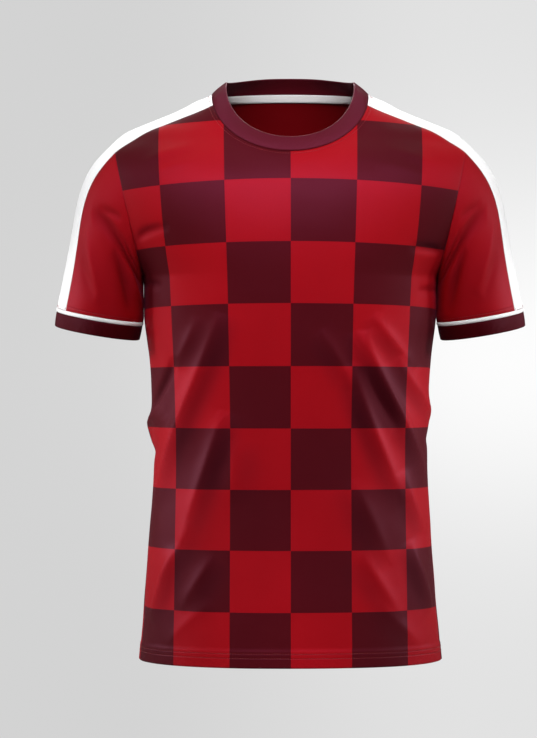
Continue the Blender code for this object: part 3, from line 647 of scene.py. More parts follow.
def foldLift(folds, here, unit):
    # how far the folds lift the cloth at `here`, in metres on the flat cloth, and how dark the painted
    # shade beside them is; `unit` turns a fold's places into metres
    lift = np.zeros(len(here))
    dip = np.zeros(len(here))
    t = np.linspace(0, 1, 41)[:, None]
    for *places, width, height, hollow in folds:
        start, middle, end = np.reshape(places, (3, 2)) * unit
        width, height = width / 1000, height / 1000
        line = (1 - t) ** 2 * start + 2 * t * (1 - t) * (2 * middle - (start + end) / 2) + t**2 * end
        near = np.abs(here - middle).max(axis=1) < np.abs(end - start).max() / 2 + width * crest["reach"]
        apart = here[near][:, None] - line[None]
        distance = np.linalg.norm(apart, axis=-1)
        nearest = np.argmin(distance, axis=1)
        way = np.gradient(line, axis=0)[nearest]
        offset = apart[np.arange(len(nearest)), nearest]
        side = np.sign(way[:, 0] * offset[:, 1] - way[:, 1] * offset[:, 0])
        s = side * distance[np.arange(len(nearest)), nearest] / width
        along = t[nearest, 0]
        taper = np.sin(np.pi * np.clip(along, 0, 1)) ** crest["taper"]
        if hollow:
            # the cloth falls from a narrow crest into a long slope on its hollow side, and away from it
            # quickly at first on the other
            away = np.sqrt(s**2 + crest["round"] ** 2) - crest["round"]
            quick = np.exp(-away / crest["quick"])
            outward = crest["share"] * quick + (1 - crest["share"]) * np.exp(-away / crest["slow"])
            inward = np.exp(-away / (crest["long"] * abs(hollow)))
            window = np.clip(1 - (s / crest["reach"]) ** 2, 0, 1) ** 2
            shape = np.where(s * hollow > 0, inward, outward) * window
            # painted shade, darkest a little way out on the hollow side of the crest
            shadeHere = np.exp(-(((s * np.sign(hollow) - crest["shadeAt"]) / crest["shadeWidth"]) ** 2))
            shadeHere *= abs(hollow) * min(height / crest["shadeHeight"], 1)
        else:
            shape = np.exp(-np.abs(s) ** crest["blunt"])
            # a hollow is painted darker, as shade
            shadeHere = shape * np.clip(-height / crest["shadeHeight"], 0, 1)
        lift[near] += height * taper * shape
        dip[near] = np.maximum(dip[near], shadeHere * taper)
    return lift, dip


def nearest(points, others):
    return np.sqrt(((points[:, None] - others[None]) ** 2).sum(axis=-1).min(axis=1))


def fade(distance, reach):
    t = np.clip(distance / reach, 0, 1)
    return t * t * (3 - 2 * t)


def ripple(points, sizes):
    # slow unevenness of soft cloth: pairs of wave length and height
    total = np.zeros(len(points))
    for length, height in sizes:
        total += [height * noise.noise(Vector(point) / length) for point in points]
    return total


# ---- cloth

# Where the sleeve hangs against the body, both bulge until they almost touch: metres by height down the
# side seam, and by station along the inside of the sleeve, and how far round each bulge reaches.
contact = {
    "body": (
        (-0.330, 0.0), (-0.3127, 0.0003), (-0.2857, 0.0008), (-0.260, 0.0004), (-0.244, 0.0001),
        (-0.232, 0.0),
    ),
    "sleeve": ((0.0, 0.0), (0.25, 0.0003), (0.50, 0.0005), (0.75, 0.0008), (0.92, 0.0010), (1.0, 0.0)),
    "bodyReach": 0.030,
    "sleeveReach": 28,
    # the body has no ripple there: share by height
    "besideArm": ((-0.36, 0), (-0.32, 1), (-0.24, 1), (-0.20, 0)),
}


def bulge(table, at, apart, reach):
    near = np.exp(-((apart / reach) ** 2))
    return near, near * np.interp(at, *np.array(table).T, left=0, right=0)


class Cloth:
    # one piece of cloth: rows of points that share their middle column; a shorter row has fewer ends
    def __init__(self, rows, wall, flatPlaces=None):
        self.points = np.concatenate(rows)
        self.flatPlaces = flatPlaces
        starts = np.cumsum([0] + [len(row) for row in rows])
        quads = []
        for j in range(len(rows) - 1):
            lower, upper = len(rows[j]), len(rows[j + 1])
            a = starts[j] + (lower - upper) // 2 + np.arange(upper - 1)
            b = starts[j + 1] + np.arange(upper - 1)
            quads.append(np.stack([a, a + 1, b + 1, b], axis=1))
        self.quads = np.concatenate(quads)
        self.wall = np.broadcast_to(wall, len(self.points)).astype(float)
        self.lift = np.zeros(len(self.points))
        self.free = np.zeros(len(self.points), bool)
        self.marks = {}

    def welded(self):
        # points that coincide where a band closes on itself share a number
        keys = np.round(self.points * 2e6).astype(np.int64)
        return np.unique(keys, axis=0, return_inverse=True)[1].reshape(-1)

    def normals(self):
        a, b, c, d = (self.points[self.quads[:, k]] for k in range(4))
        number = self.welded()
        total = np.zeros((number.max() + 1, 3))
        for k in range(4):
            np.add.at(total, number[self.quads[:, k]], np.cross(c - a, d - b))
        total /= np.maximum(np.linalg.norm(total, axis=1), 1e-12)[:, None]
        return total[number]

    def rim(self):
        edges = np.concatenate([self.quads[:, [k, (k + 1) % 4]] for k in range(4)])
        keys = self.welded()[edges]
        seen = {tuple(key) for key in keys.tolist()}
        both = zip(edges.tolist(), keys.tolist())
        return [tuple(edge) for edge, key in both if (key[1], key[0]) not in seen]


def facingOut(cloth, inside):
    # turned so that its outer face looks away from a point inside the garment
    if np.sum(cloth.normals() * (cloth.points - inside)) < 0:
        cloth.quads = cloth.quads[:, ::-1]
    return cloth


def mirrored(cloth):
    twin = Cloth.__new__(Cloth)
    twin.__dict__.update(cloth.__dict__)
    twin.points = cloth.points * (-1, 1, 1)
    twin.quads = cloth.quads[:, ::-1]
    return twin


def shareNormals(cloths):
    # where pieces meet at a seam, their normals are averaged
    own = [cloth.normals() for cloth in cloths]
    meeting = {}
    for s, cloth in enumerate(cloths):
        for k in {end for edge in cloth.rim() for end in edge}:
            meeting.setdefault(tuple(np.round(cloth.points[k] * 2e5).astype(int)), []).append((s, k))
    shared = [each.copy() for each in own]
    for members in meeting.values():
        total = sum(own[s][k] for s, k in members)
        for s, k in members:
            shared[s][k] = total / np.linalg.norm(total)
    return shared


cloths = {}


def addPair(name, left):
    cloths[name + "Left"] = left
    cloths[name + "Right"] = mirrored(left)


# ---- front and back

panels = {
    "wall": 0.0011,
    "hemWall": 0.0021,
    "hemDepth": 0.0200,
    "hemMargin": 0.0006,
    "hemRise": 0.0007,
    "inside": (0, 0, -0.36),
    "hemFade": 0.0024,
    "ripple": ((0.110, 0.0016), (0.045, 0.0006), (0.018, 0.00018)),
    # check: side of a square, its edges up the front as (height, number), its width as (height, metres),
    # and the droop of the rows as (height, share of the square of the way out from the centre line)
    "square": 0.0771,
    "rowEdges": (
        (-0.7205, -6.88), (-0.6526, -6), (-0.5760, -5), (-0.5004, -4), (-0.4240, -3), (-0.3463, -2),
        (-0.2681, -1), (-0.1912, 0), (-0.1120, 1), (-0.0322, 2), (0.0400, 2.92),
    ),
    "squareWidth": (
        (-0.7205, 0.0765), (-0.690, 0.0765), (-0.430, 0.0756), (-0.350, 0.0770), (-0.270, 0.0783),
        (-0.190, 0.0805), (-0.110, 0.0830), (-0.030, 0.0850), (0.040, 0.0850),
    ),
    "droop": (
        (-0.7205, 0.0), (-0.42, 0.0), (-0.34, 0.05), (-0.27, 0.12), (-0.19, 0.20), (-0.112, 0.30),
        (0.04, 0.28),
    ),
    "straightFrom": 0.3,
    "straightTo": 0.7,
    "steepest": 0.45,
}


def seenPlaces(cloth, across, height):
    # the checks run straight over the folds, so each point takes the place that it is seen at from the
    # front, but not round the side
    normals = cloth.normals()
    moved = normals * cloth.lift[:, None]
    turned = np.abs(normals[:, 1]) / np.maximum(np.hypot(normals[:, 0], normals[:, 1]), 1e-6)
    start, end = panels["straightFrom"], panels["straightTo"]
    sideways = moved[:, 0] / np.clip(turned, panels["steepest"], 1)
    sideways *= np.clip((turned - start) / (end - start), 0, 1)
    return checkPlaces(across + sideways, height + moved[:, 2])


def checkPlaces(across, height):
    # where each point of the front lies on the flat checked cloth, in metres
    level = height + np.interp(height, *np.array(panels["droop"]).T) * across**2
    edges = np.array(panels["rowEdges"])
    up = np.interp(level, edges[:, 0], edges[:, 1]) * panels["square"]
    width = np.interp(height, *np.array(panels["squareWidth"]).T)
    return np.stack([across / width * panels["square"], up], axis=-1)


def makePanel(half):
    whole = [np.concatenate([row[:0:-1] * (-1, 1), row]) for row in halfPanel(half)]
    across, height = np.concatenate(whole).T
    points = bodyPoint(half, across, height)
    neck = neckRing(half, neckLaps())
    armhole = sleeveRing(half, 0.0, armholeLaps())
    seam = np.concatenate([neck, shoulderEdge(half, 1, shoulderParts()), armhole])
    seam[mesh["neck"], 0] = 0
    for exact in np.concatenate([seam, seam * (-1, 1, 1)]):
        points[np.argmin(((points - exact) ** 2).sum(axis=1))] = exact

    around = across
    if half == "back":
        far = sideAcross("front", height) + sideAcross("back", height)
        around = np.where(across < 0, -1, 1) * (far - np.abs(across))
    besideArm = np.interp(height, *np.array(contact["besideArm"]).T)
    fromSide = sideAcross(half, height) - np.abs(across)
    near, out = bulge(contact["body"], height, fromSide, contact["bodyReach"])
    lift, dip = foldLift(bodyFolds, np.stack([around, height], axis=-1), 0.001)
    lift += ripple(points, panels["ripple"]) * (1 - near * besideArm) + out
    ends = np.cumsum([len(row) for row in whole])[:-1]
    fromHem = height - body["hem"]
    inHem = fromHem < panels["hemDepth"] + panels["hemMargin"]
    wall = np.where(inHem, panels["hemWall"], panels["wall"])
    cloth = Cloth(np.split(points, ends), wall)
    folded = np.abs(points * (1, 0, 0)) + points * (0, 1, 1)
    fromSeam = nearest(folded, seam)
    cloth.lift = lift * fade(fromSeam, foldFade["seam"])
    cloth.lift += panels["hemRise"] * (1 - fade(fromHem - panels["hemDepth"], panels["hemFade"]))
    cloth.free = fromHem < 1e-6
    side = np.where(height < sleeve["rings"][0][4], fromSide, 1)
    # painted shade beside the folds
    cloth.marks["dip"] = dip
    cloth.marks["fromSeam"] = np.minimum(fromSeam, side)
    cloth.marks["fromNeck"] = nearest(folded, neck)
    cloth.marks["fromHem"] = fromHem
    facingOut(cloth, panels["inside"])
    cloth.flatPlaces = seenPlaces(cloth, across, height)
    return cloth


for half in ("front", "back"):
    cloths[half] = makePanel(half)
    print(half, "laid out")

# ---- sleeves

sleeveCloth = {
    "wall": 0.0011,
    "ripple": ((0.070, 0.0010), (0.030, 0.0005), (0.016, 0.00015)),
    # where each sleeve starts in the ripple, so that the two differ
    "rippleFrom": {"left": 0.3, "right": 0.7},
    "flatLength": 0.19,
    "cuffReach": 0.17,
    "armholeReach": 0.15,
}


def sleeveRows(laps, halves):
    stations = parts(mesh["sleeve"], mesh["narrowSleeve"], mesh["narrowSleeve"])
    return stations, [
        np.concatenate([sleeveRing(half, station, laps[half]) for half in halves]) for station in stations
    ]


def flatRows(rows, down):
    # along the row in metres from its middle, and down the piece in metres
    places = []
    for row, low in zip(rows, down):
        along = lengthsAlong(row)
        places.append(np.stack([along - along[-1] / 2, np.full(len(row), low)], axis=-1))
    return np.concatenate(places)


def makeSleeve(side):
    laps = armholeLaps()
    stations, rows = sleeveRows({"front": laps, "back": laps[-2::-1]}, ("front", "back"))
    cloth = Cloth(rows, sleeveCloth["wall"], flatRows(rows, -stations * sleeveCloth["flatLength"]))
    places = []
    for row, station in zip(rows, stations):
        middle = sleeveMiddle(station)
        top = sleevePoint(0.0, station) - middle
        up = (row - middle) @ top / (top @ top)
        turn = np.degrees(np.arccos(np.clip(up, -1, 1))) * np.where(row[:, 1] < 0, 1, -1)
        places.append(np.stack([turn, np.full(len(row), station)], axis=-1))
    places = np.concatenate(places)
    unit = np.array([sleeve["reachRound"], sleeve["reachDown"]])
    # the folds' lift, and the painted shade beside them
    lift, cloth.marks["dip"] = foldLift(sleeveFolds[side], places * unit, unit)
    near, out = bulge(contact["sleeve"], places[:, 1], 180 - np.abs(places[:, 0]), contact["sleeveReach"])
    lift += ripple(cloth.points + sleeveCloth["rippleFrom"][side], sleeveCloth["ripple"]) * (1 - near)
    fromCuff = (1 - places[:, 1]) * sleeveCloth["cuffReach"]
    fromArmhole = places[:, 1] * sleeveCloth["armholeReach"]
    fromStripe = (np.abs(places[:, 0]) - sleeve["stripeTurn"]) * sleeve["reachRound"]
    fromEnds = np.minimum(fromCuff, fromArmhole)
    cloth.lift = lift * fade(fromEnds, foldFade["seam"]) * fade(fromStripe, foldFade["stripe"])
    cloth.lift += out
    cloth.marks["fromSeam"] = np.minimum(fromEnds, np.maximum(fromStripe, 0))
    cloth.marks["fromCuff"] = fromCuff
    return facingOut(cloth, sleeveMiddle(0.5))


cloths["sleeveLeft"] = makeSleeve("left")
cloths["sleeveRight"] = mirrored(makeSleeve("right"))
print("sleeves laid out")

# ---- white stripes

stripeCloth = {
    "wall": 0.0012,
    "halfWidth": 0.036,
    "shoulderLength": 0.14,
    "sleeveLength": 0.21,
    # how far it stands proud of the cloth beside it, and how far in from its edge it is fully so
    "rise": 0.0004,
    "riseReach": 0.003,
    "ripple": ((0.060, 0.0006), (0.025, 0.0003)),
    "rippleReach": 0.012,
    "inside": (0, 0, -0.3),
}


def makeShoulderStripe():
    laps = stripeLaps()
    half = mesh["stripe"] // 2
    along = shoulderParts()
    lines = [shoulderEdge("front" if k < half else "back", lap, along) for k, lap in enumerate(laps)]
    rows = np.stack(lines, axis=1)
    cloth = Cloth(rows, stripeCloth["wall"], flatRows(rows, along * stripeCloth["shoulderLength"]))
    neckLine = np.concatenate([neckRing("front", laps[:half]), neckRing("back", laps[half:])])
    cloth.marks["fromNeck"] = nearest(cloth.points, neckLine)
    return finishStripe(facingOut(cloth, stripeCloth["inside"]), laps)


def makeSleeveStripe():
    laps = stripeLaps()
    half = mesh["stripe"] // 2
    stations, rows = sleeveRows({"front": laps[:half], "back": laps[half:]}, ("front", "back"))
    cloth = Cloth(rows, stripeCloth["wall"], flatRows(rows, stations * stripeCloth["sleeveLength"]))
    return finishStripe(facingOut(cloth, sleeveMiddle(0.5)), laps)


def finishStripe(cloth, laps):
    fromEdge = np.tile((1 - laps) * stripeCloth["halfWidth"], len(cloth.points) // len(laps))
    cloth.marks["fromSeam"] = fromEdge
    cloth.lift = stripeCloth["rise"] * fade(fromEdge, stripeCloth["riseReach"])
    cloth.lift += ripple(cloth.points, stripeCloth["ripple"]) * fade(fromEdge, stripeCloth["rippleReach"])
    return cloth


addPair("shoulderStripe", makeShoulderStripe())
addPair("sleeveStripe", makeSleeveStripe())
print("stripes laid out")

# ---- cuffs and the piping above them

cuffs = {
    "pipingWidth": 0.0050,
    "pipingWall": 0.0012,
    "pipingBulge": 0.0007,
    "pipingRows": 6,
    "width": 0.0180,
    "wall": 0.0020,
    "bulge": 0.0003,
    "rows": 12,
    "taper": 0.985,
    "outward": math.radians(9.8),
    "narrow": 0.5,
}


def cuffRing():
    front, back = ringLaps(armholeLaps())
    return np.concatenate([sleeveRing("front", 1.0, front), sleeveRing("back", 1.0, back)])


def makeBand(start, end, wall, bulge, rows):
    ring = cuffRing()
    middle = sleeveMiddle(1.0)
    axis = np.array([math.sin(cuffs["outward"]), 0, -math.cos(cuffs["outward"])])
    outward = (ring - middle) / np.linalg.norm(ring - middle, axis=1)[:, None]
    share = parts(rows, cuffs["narrow"] / rows, cuffs["narrow"] / rows)
    below = start + (end - start) * share
    lines = []
    for low, part in zip(below, share):
        spread = 1 + (cuffs["taper"] - 1) * low / (cuffs["pipingWidth"] + cuffs["width"])
        swell = outward * bulge * math.sin(math.pi * part)
        lines.append(middle + (ring - middle) * spread + axis * low + swell)
    cloth = Cloth(lines, wall, flatRows(lines, -below))
    cloth.marks["fromSeam"] = np.repeat(below - start, len(ring))
    return facingOut(cloth, middle)


def makePiping():
    return makeBand(0, cuffs["pipingWidth"], cuffs["pipingWall"], cuffs["pipingBulge"], cuffs["pipingRows"])


def makeCuff():
    start = cuffs["pipingWidth"]
    cloth = makeBand(start, start + cuffs["width"], cuffs["wall"], cuffs["bulge"], cuffs["rows"])
    cloth.free[-len(cuffRing()) :] = True
    return cloth


addPair("piping", makePiping())
addPair("cuff", makeCuff())
print("cuffs laid out")

# ---- collar and the tape behind the neck

collar = {
    "width": 0.0205,
    "sideWidth": 0.0245,
    "wall": 0.0020,
    "leanFront": math.radians(23),
    "leanSide": math.radians(49),
    "bulge": 0.0009,
    "bulgeEarly": 0.75,
    "rows": 14,
    "narrow": 0.4,
    "tapeWidth": 0.0100,
    "tapeWall": 0.0008,
    "tapeDrop": 0.0008,
    "tapeGap": 0.0005,
    "tapeReach": 0.97,
    "tapeRows": 6,
    "tapeInside": (0, -0.08, -0.08),
    # how far below its seam the point lies that the collar faces away from
    "insideDrop": 0.02,
}


def neckSeam():
    front, back = ringLaps(neckLaps())
    left = np.concatenate([neckRing("front", front), neckRing("back", back)])
    left[0, 0] = left[-1, 0] = 0
    return np.concatenate([left, left[-2::-1] * (-1, 1, 1)])


def makeCollar():
    seam = neckSeam()
    plan = seam[:, :2] / np.linalg.norm(seam[:, :2], axis=1)[:, None]
    lean = collar["leanFront"] + (collar["leanSide"] - collar["leanFront"]) * plan[:, 0] ** 2
    rise = np.stack([-plan[:, 0] * np.sin(lean), -plan[:, 1] * np.sin(lean), np.cos(lean)], axis=-1)
    out = np.stack([plan[:, 0] * np.cos(lean), plan[:, 1] * np.cos(lean), np.sin(lean)], axis=-1)
    width = (collar["width"] + (collar["sideWidth"] - collar["width"]) * plan[:, 0] ** 2)[:, None]
    narrow = collar["narrow"] / collar["rows"]
    share = parts(collar["rows"], narrow, narrow)
    lines = []
    for part in share:
        # the band swells quickly off its seam, so that it stands proud of the cloth
        bulge = collar["bulge"] * math.sin(math.pi * part ** collar["bulgeEarly"])
        lines.append(seam + rise * width * part + out * bulge)
    cloth = Cloth(lines, collar["wall"], flatRows([seam] * len(share), share * collar["width"]))
    cloth.marks["fromSeam"] = np.repeat(share * collar["width"], len(seam))
    cloth.free[-len(seam) :] = True
    return facingOut(cloth, seam.mean(axis=0) - (0, 0, collar["insideDrop"]))


def makeTape():
    seam = neckRing("back", 2 - collar["tapeReach"] * (2 - neckLaps()[::-1]))
    across, height = flat("back", seam).T
    across[0] = 0
    across = np.concatenate([-across[:0:-1], across])
    height = np.concatenate([height[:0:-1], height])
    step = 1e-4
    fall = bodyPoint("back", across, height) - bodyPoint("back", across, height - step)
    steep = np.linalg.norm(fall, axis=1) / step
    lines = []
    share = np.linspace(0, 1, collar["tapeRows"] + 1)
    for part in share:
        at = height - (collar["tapeDrop"] + collar["tapeWidth"] * part) / steep
        place = bodyPoint("back", across, at)
        down = bodyPoint("back", across, at - step) - place
        beside = bodyPoint("back", across + step, at) - place
        inward = np.cross(down, beside)
        inward /= np.linalg.norm(inward, axis=1)[:, None]
        lines.append(place + inward * (panels["wall"] + collar["tapeGap"]))
    cloth = Cloth(lines, collar["tapeWall"], flatRows(lines, -share * collar["tapeWidth"]))
    cloth.free[:] = True
    return facingOut(cloth, collar["tapeInside"])


cloths["collarRib"] = makeCollar()
cloths["tape"] = makeTape()
print("collar and tape laid out")

# ---- finishes

knit = {
    "red": (0.262, 0.0022, 0.0034),
    "maroon": (0.053, 0.0018, 0.0022),
    "white": (0.850, 0.850, 0.855),
    "rib": (0.062, 0.0028, 0.0044),
    # the collar's maroon rib, painted darker as shade on the cuffs
    "cuff": (0.046, 0.0010, 0.0016),
    # the white painted lighter, as light falling on the tape inside the back of the neck
    "tape": (0.900, 0.870, 0.870),
    "thread": (0.230, 0.0050, 0.0090),
    "whiteThread": (0.850, 0.850, 0.850),
    "wale": 0.00095,
    "course": 0.00075,
    "roughness": 0.52,
    # share of the painted shade on the inner face
    "insideShade": 0.55,
    # share of the painted shade beside the folds
    "dip": 0.38,
    "foldShadeRoughness": 0.30,
    "loopDepth": 0.00005,
    "ribDepth": 0.00022,
    # how the shade goes from the bottom of a loop or rib to its top: gain, lowest
    "loopShade": (0.16, 0.90),
    "ribShade": (0.22, 0.84),
    # unevenness of the yarn, slow and fine: scale, detail, gain, lowest
    "slowTone": (22, 3, 0.10, 0.95),
    "fineTone": (620, 2, 0.14, -0.07),
    "fuzzRoughness": 0.10,
    "threadScale": 2600,
    "threadTone": (0.4, 0.8),
    "threadRoughness": 0.5,
    "ribPitch": 0.0016,
    "tapePitch": 0.0012,
    "lineShade": 0.16,
    "tint": (1.0, 0.21, 0.52),
    "whiteTint": (1.0, 1.0, 1.0),
    "sheenRoughness": 0.35,
}


def newGroup(name, inputs, outputs):
    # an input without a value is a vector
    group = bpy.data.node_groups.new(name, "ShaderNodeTree")
    for label, value in inputs:
        kind = "NodeSocketVector" if value is None else "NodeSocketFloat"
        socket = group.interface.new_socket(label, in_out="INPUT", socket_type=kind)
        if value is not None:
            socket.default_value = value
    for label in outputs:
        group.interface.new_socket(label, in_out="OUTPUT", socket_type="NodeSocketFloat")
    return group, nodeOf(group, "NodeGroupInput").outputs, nodeOf(group, "NodeGroupOutput").inputs


def makeLoopsGroup():
    # rows of small V-shaped loops, two legs to a wale
    numbers = (("Cloth", None), ("Wale", 0.001), ("Course", 0.001))
    group, given, out = newGroup("knitLoops", numbers, ("Height", "Shade"))
    split = nodeOf(group, "ShaderNodeSeparateXYZ")
    group.links.new(given["Cloth"], split.inputs[0])
    u = maths(group, "DIVIDE", split.outputs["X"], given["Wale"])
    v = maths(group, "DIVIDE", split.outputs["Y"], given["Course"])
    lean = maths(group, "PINGPONG", u, 0.5)
    leg = maths(group, "ABSOLUTE", maths(group, "SINE", maths(group, "MULTIPLY", u, 2 * math.pi)))
    loop = maths(group, "PINGPONG", maths(group, "ADD", v, lean), 0.5)
    height = maths(group, "ADD", maths(group, "MULTIPLY", leg, 0.65), maths(group, "MULTIPLY", loop, 0.7))
    group.links.new(height, out["Height"])
    group.links.new(maths(group, "MULTIPLY_ADD", height, *knit["loopShade"]), out["Shade"])
    return group


def makeRibGroup():
    group, given, out = newGroup("ribLines", (("Cloth", None), ("Pitch", 0.0016)), ("Height", "Shade"))
    split = nodeOf(group, "ShaderNodeSeparateXYZ")
    group.links.new(given["Cloth"], split.inputs[0])
    turn = maths(group, "DIVIDE", split.outputs["X"], given["Pitch"])
    wave = maths(group, "COSINE", maths(group, "MULTIPLY", turn, 2 * math.pi))
    height = maths(group, "MULTIPLY_ADD", wave, 0.5, 0.5)
    group.links.new(height, out["Height"])
    group.links.new(maths(group, "MULTIPLY_ADD", height, *knit["ribShade"]), out["Shade"])
    return group


def makeToneGroup():
    # slow and fine unevenness of dyed yarn
    group, given, out = newGroup("yarnTone", (("Cloth", None),), ("Tone", "Fuzz"))
    fuzz, tones = [], []
    for scale, detail, gain, lowest in (knit["slowTone"], knit["fineTone"]):
        texture = nodeOf(group, "ShaderNodeTexNoise")
        texture.inputs["Scale"].default_value = scale
        texture.inputs["Detail"].default_value = detail
        group.links.new(given["Cloth"], texture.inputs["Vector"])
        fuzz.append(texture.outputs["Fac"])
        tones.append(maths(group, "MULTIPLY_ADD", fuzz[-1], gain, lowest))
    tone = maths(group, "ADD", *tones)
    group.links.new(tone, out["Tone"])
    group.links.new(fuzz[-1], out["Fuzz"])
    return group


def makeLineGroup():
    # a stitched line at one distance from an edge: 1 along it and 0 beside it
    numbers = (("Distance", 0.0), ("Place", 0.0), ("Width", 0.001))
    group, given, out = newGroup("stitchedLine", numbers, ("Mask",))
    apart = maths(group, "ABSOLUTE", maths(group, "SUBTRACT", given["Distance"], given["Place"]))
    share = maths(group, "DIVIDE", apart, given["Width"])
    square = maths(group, "MULTIPLY", share, share)
    group.links.new(maths(group, "EXPONENT", maths(group, "MULTIPLY", square, -1.0)), out["Mask"])
    return group


groups = {
    "loops": makeLoopsGroup(),
    "rib": makeRibGroup(),
    "tone": makeToneGroup(),
    "line": makeLineGroup(),
}


def placeGroup(tree, which, **values):
    node = nodeOf(tree, "ShaderNodeGroup", node_tree=groups[which])
    for label, value in values.items():
        if isinstance(value, (int, float)):
            node.inputs[label].default_value = value
        else:
            tree.links.new(value, node.inputs[label])
    return node.outputs


def mixColour(tree, factor, a, b):
    node = nodeOf(tree, "ShaderNodeMix", data_type="RGBA")
    for socket, value in ((node.inputs[0], factor), (node.inputs[6], a), (node.inputs[7], b)):
        if isinstance(value, tuple):
            socket.default_value = (*value, 1)
        elif isinstance(value, (int, float)):
            socket.default_value = value
        else:
            tree.links.new(value, socket)
    return node.outputs[2]


def scaleColour(tree, colour, factor):
    node = nodeOf(tree, "ShaderNodeVectorMath", operation="SCALE")
    if isinstance(colour, tuple):
        node.inputs[0].default_value = colour
    else:
        tree.links.new(colour, node.inputs[0])
    tree.links.new(factor, node.inputs["Scale"])
    return node.outputs[0]


def markOf(tree, name):
    return nodeOf(tree, "ShaderNodeAttribute", attribute_name=name).outputs["Fac"]


def darker(tree, shade, mask, share):
    return maths(tree, "MULTIPLY", shade, maths(tree, "MULTIPLY_ADD", mask, -share, 1.0))


def makeFinish(name, colour, lines=(), rib=None, check=None, sheen=0.03, tint=knit["tint"], gloss=0.20):
    # `lines` are stitched lines as (mark, distance, half width, depth); `rib` is the pitch of a ribbed cloth
    finish, tree, shader = newFinish(name)
    cloth = nodeOf(tree, "ShaderNodeUVMap", uv_map="cloth").outputs[0]
    base = colour
    if check is not None:
        split = nodeOf(tree, "ShaderNodeSeparateXYZ")
        tree.links.new(cloth, split.inputs[0])
        counts = [maths(tree, "DIVIDE", split.outputs[axis], panels["square"]) for axis in "XY"]
        cells = [maths(tree, "FLOOR", count) for count in counts]
        odd = maths(tree, "FLOORED_MODULO", maths(tree, "ADD", *cells), 2.0)
        base = mixColour(tree, odd, check, colour)
    if rib is None:
        surface = placeGroup(tree, "loops", Cloth=cloth, Wale=knit["wale"], Course=knit["course"])
        depth = knit["loopDepth"]
    else:
        surface = placeGroup(tree, "rib", Cloth=cloth, Pitch=rib)
        depth = knit["ribDepth"]
    tone = placeGroup(tree, "tone", Cloth=cloth)
    shade = maths(tree, "MULTIPLY", surface["Shade"], tone["Tone"])
    if rib is None:
        # painted shade: the inner face of each piece, and half as much its edges, are painted darker
        shade = darker(tree, shade, markOf(tree, "insideShade"), knit["insideShade"])
        # and painted shade darkens the cloth beside each fold
        dip = markOf(tree, "dip")
        shade = darker(tree, shade, dip, knit["dip"])
    height = maths(tree, "MULTIPLY", surface["Height"], depth)
    for mark, distance, width, groove in lines:
        mask = placeGroup(tree, "line", Distance=markOf(tree, mark), Place=distance, Width=width)["Mask"]
        height = maths(tree, "SUBTRACT", height, maths(tree, "MULTIPLY", mask, groove))
        shade = darker(tree, shade, mask, knit["lineShade"])
    bump = nodeOf(tree, "ShaderNodeBump")
    bump.inputs["Distance"].default_value = 1.0
    tree.links.new(height, bump.inputs["Height"])
    tree.links.new(bump.outputs[0], shader["Normal"])
    tree.links.new(scaleColour(tree, base, shade), shader["Base Color"])
    fuzz = knit["fuzzRoughness"]
    rough = maths(tree, "MULTIPLY_ADD", tone["Fuzz"], fuzz, knit["roughness"] - fuzz / 2)
    if rib is None:
        rough = maths(tree, "MULTIPLY_ADD", dip, knit["foldShadeRoughness"], rough)
    tree.links.new(rough, shader["Roughness"])
    shader["Specular IOR Level"].default_value = gloss
    shader["Specular Tint"].default_value = (*tint, 1)
    shader["Sheen Weight"].default_value = sheen
    shader["Sheen Roughness"].default_value = knit["sheenRoughness"]
    shader["Sheen Tint"].default_value = (*tint, 1)
    return finish


# mark, distance from the edge, half width, depth
stitchLines = {
    "seam": ("fromSeam", 0.0, 0.0012, 0.0002),
    "ribSeam": ("fromSeam", 0.0, 0.0012, 0.0003),
    "lowerHem": ("fromHem", 0.0112, 0.0006, 0.00025),
    "upperHem": ("fromHem", 0.0166, 0.0006, 0.00025),
    "neck": ("fromNeck", 0.0040, 0.0006, 0.0002),
    "cuff": ("fromCuff", 0.0035, 0.0006, 0.0002),
}


def linesOf(*names):
    return [stitchLines[name] for name in names]


bodyLines = linesOf("seam", "lowerHem", "upperHem", "neck")
white = {"sheen": 0.1, "tint": knit["whiteTint"]}
ribbed = {"lines": linesOf("ribSeam"), "rib": knit["ribPitch"]}
finishes = {
    "checkKnit": makeFinish("checkKnit", knit["red"], bodyLines, check=knit["maroon"]),
    "redKnit": makeFinish("redKnit", knit["red"], bodyLines),
    "sleeveKnit": makeFinish("sleeveKnit", knit["red"], linesOf("seam", "cuff")),
    "whiteKnit": makeFinish("whiteKnit", knit["white"], linesOf("seam", "neck"), **white),
    "maroonRib": makeFinish("maroonRib", knit["rib"], gloss=0.35, **ribbed),
    # the cuffs' rib is painted darker than the collar's, as shade
    "cuffRib": makeFinish("cuffRib", knit["cuff"], gloss=0.12, **ribbed),
    "tapeWeave": makeFinish("tapeWeave", knit["tape"], rib=knit["tapePitch"], **white),
}
print("finishes made")

# ---- cloth becomes thin solid shells

shell = {
    # how deep an edge that is sewn lies in its seam
    "seamSink": 0.0003,
    # how far a free edge is rounded out, as a share of its wall, and how far its places move with it
    "roundOut": 0.45,
    "edgePlace": 0.0006,
    "sharp": math.radians(60),
}
stripeNodes = ("shoulder_stripe_left", "shoulder_stripe_right")
# piece: CAD node, finish, record slot, width and length of its cut, area where that isn't a rectangle,
# how it is held, what carries it
pieces = {
    "front": ("front_panel", "checkKnit", "check_knit", (0.520, 0.720), 0.330, "hung", stripeNodes),
    "back": ("back_panel", "redKnit", "red_knit", (0.520, 0.760), 0.341, "hung", stripeNodes),
    "collarRib": ("collar", "maroonRib", "maroon_rib", (0.570, 0.0225), None, "stretched", ()),
    "tape": ("neck_tape", "tapeWeave", "white_knit", (0.210, 0.0105), None, "stretched", ()),
}
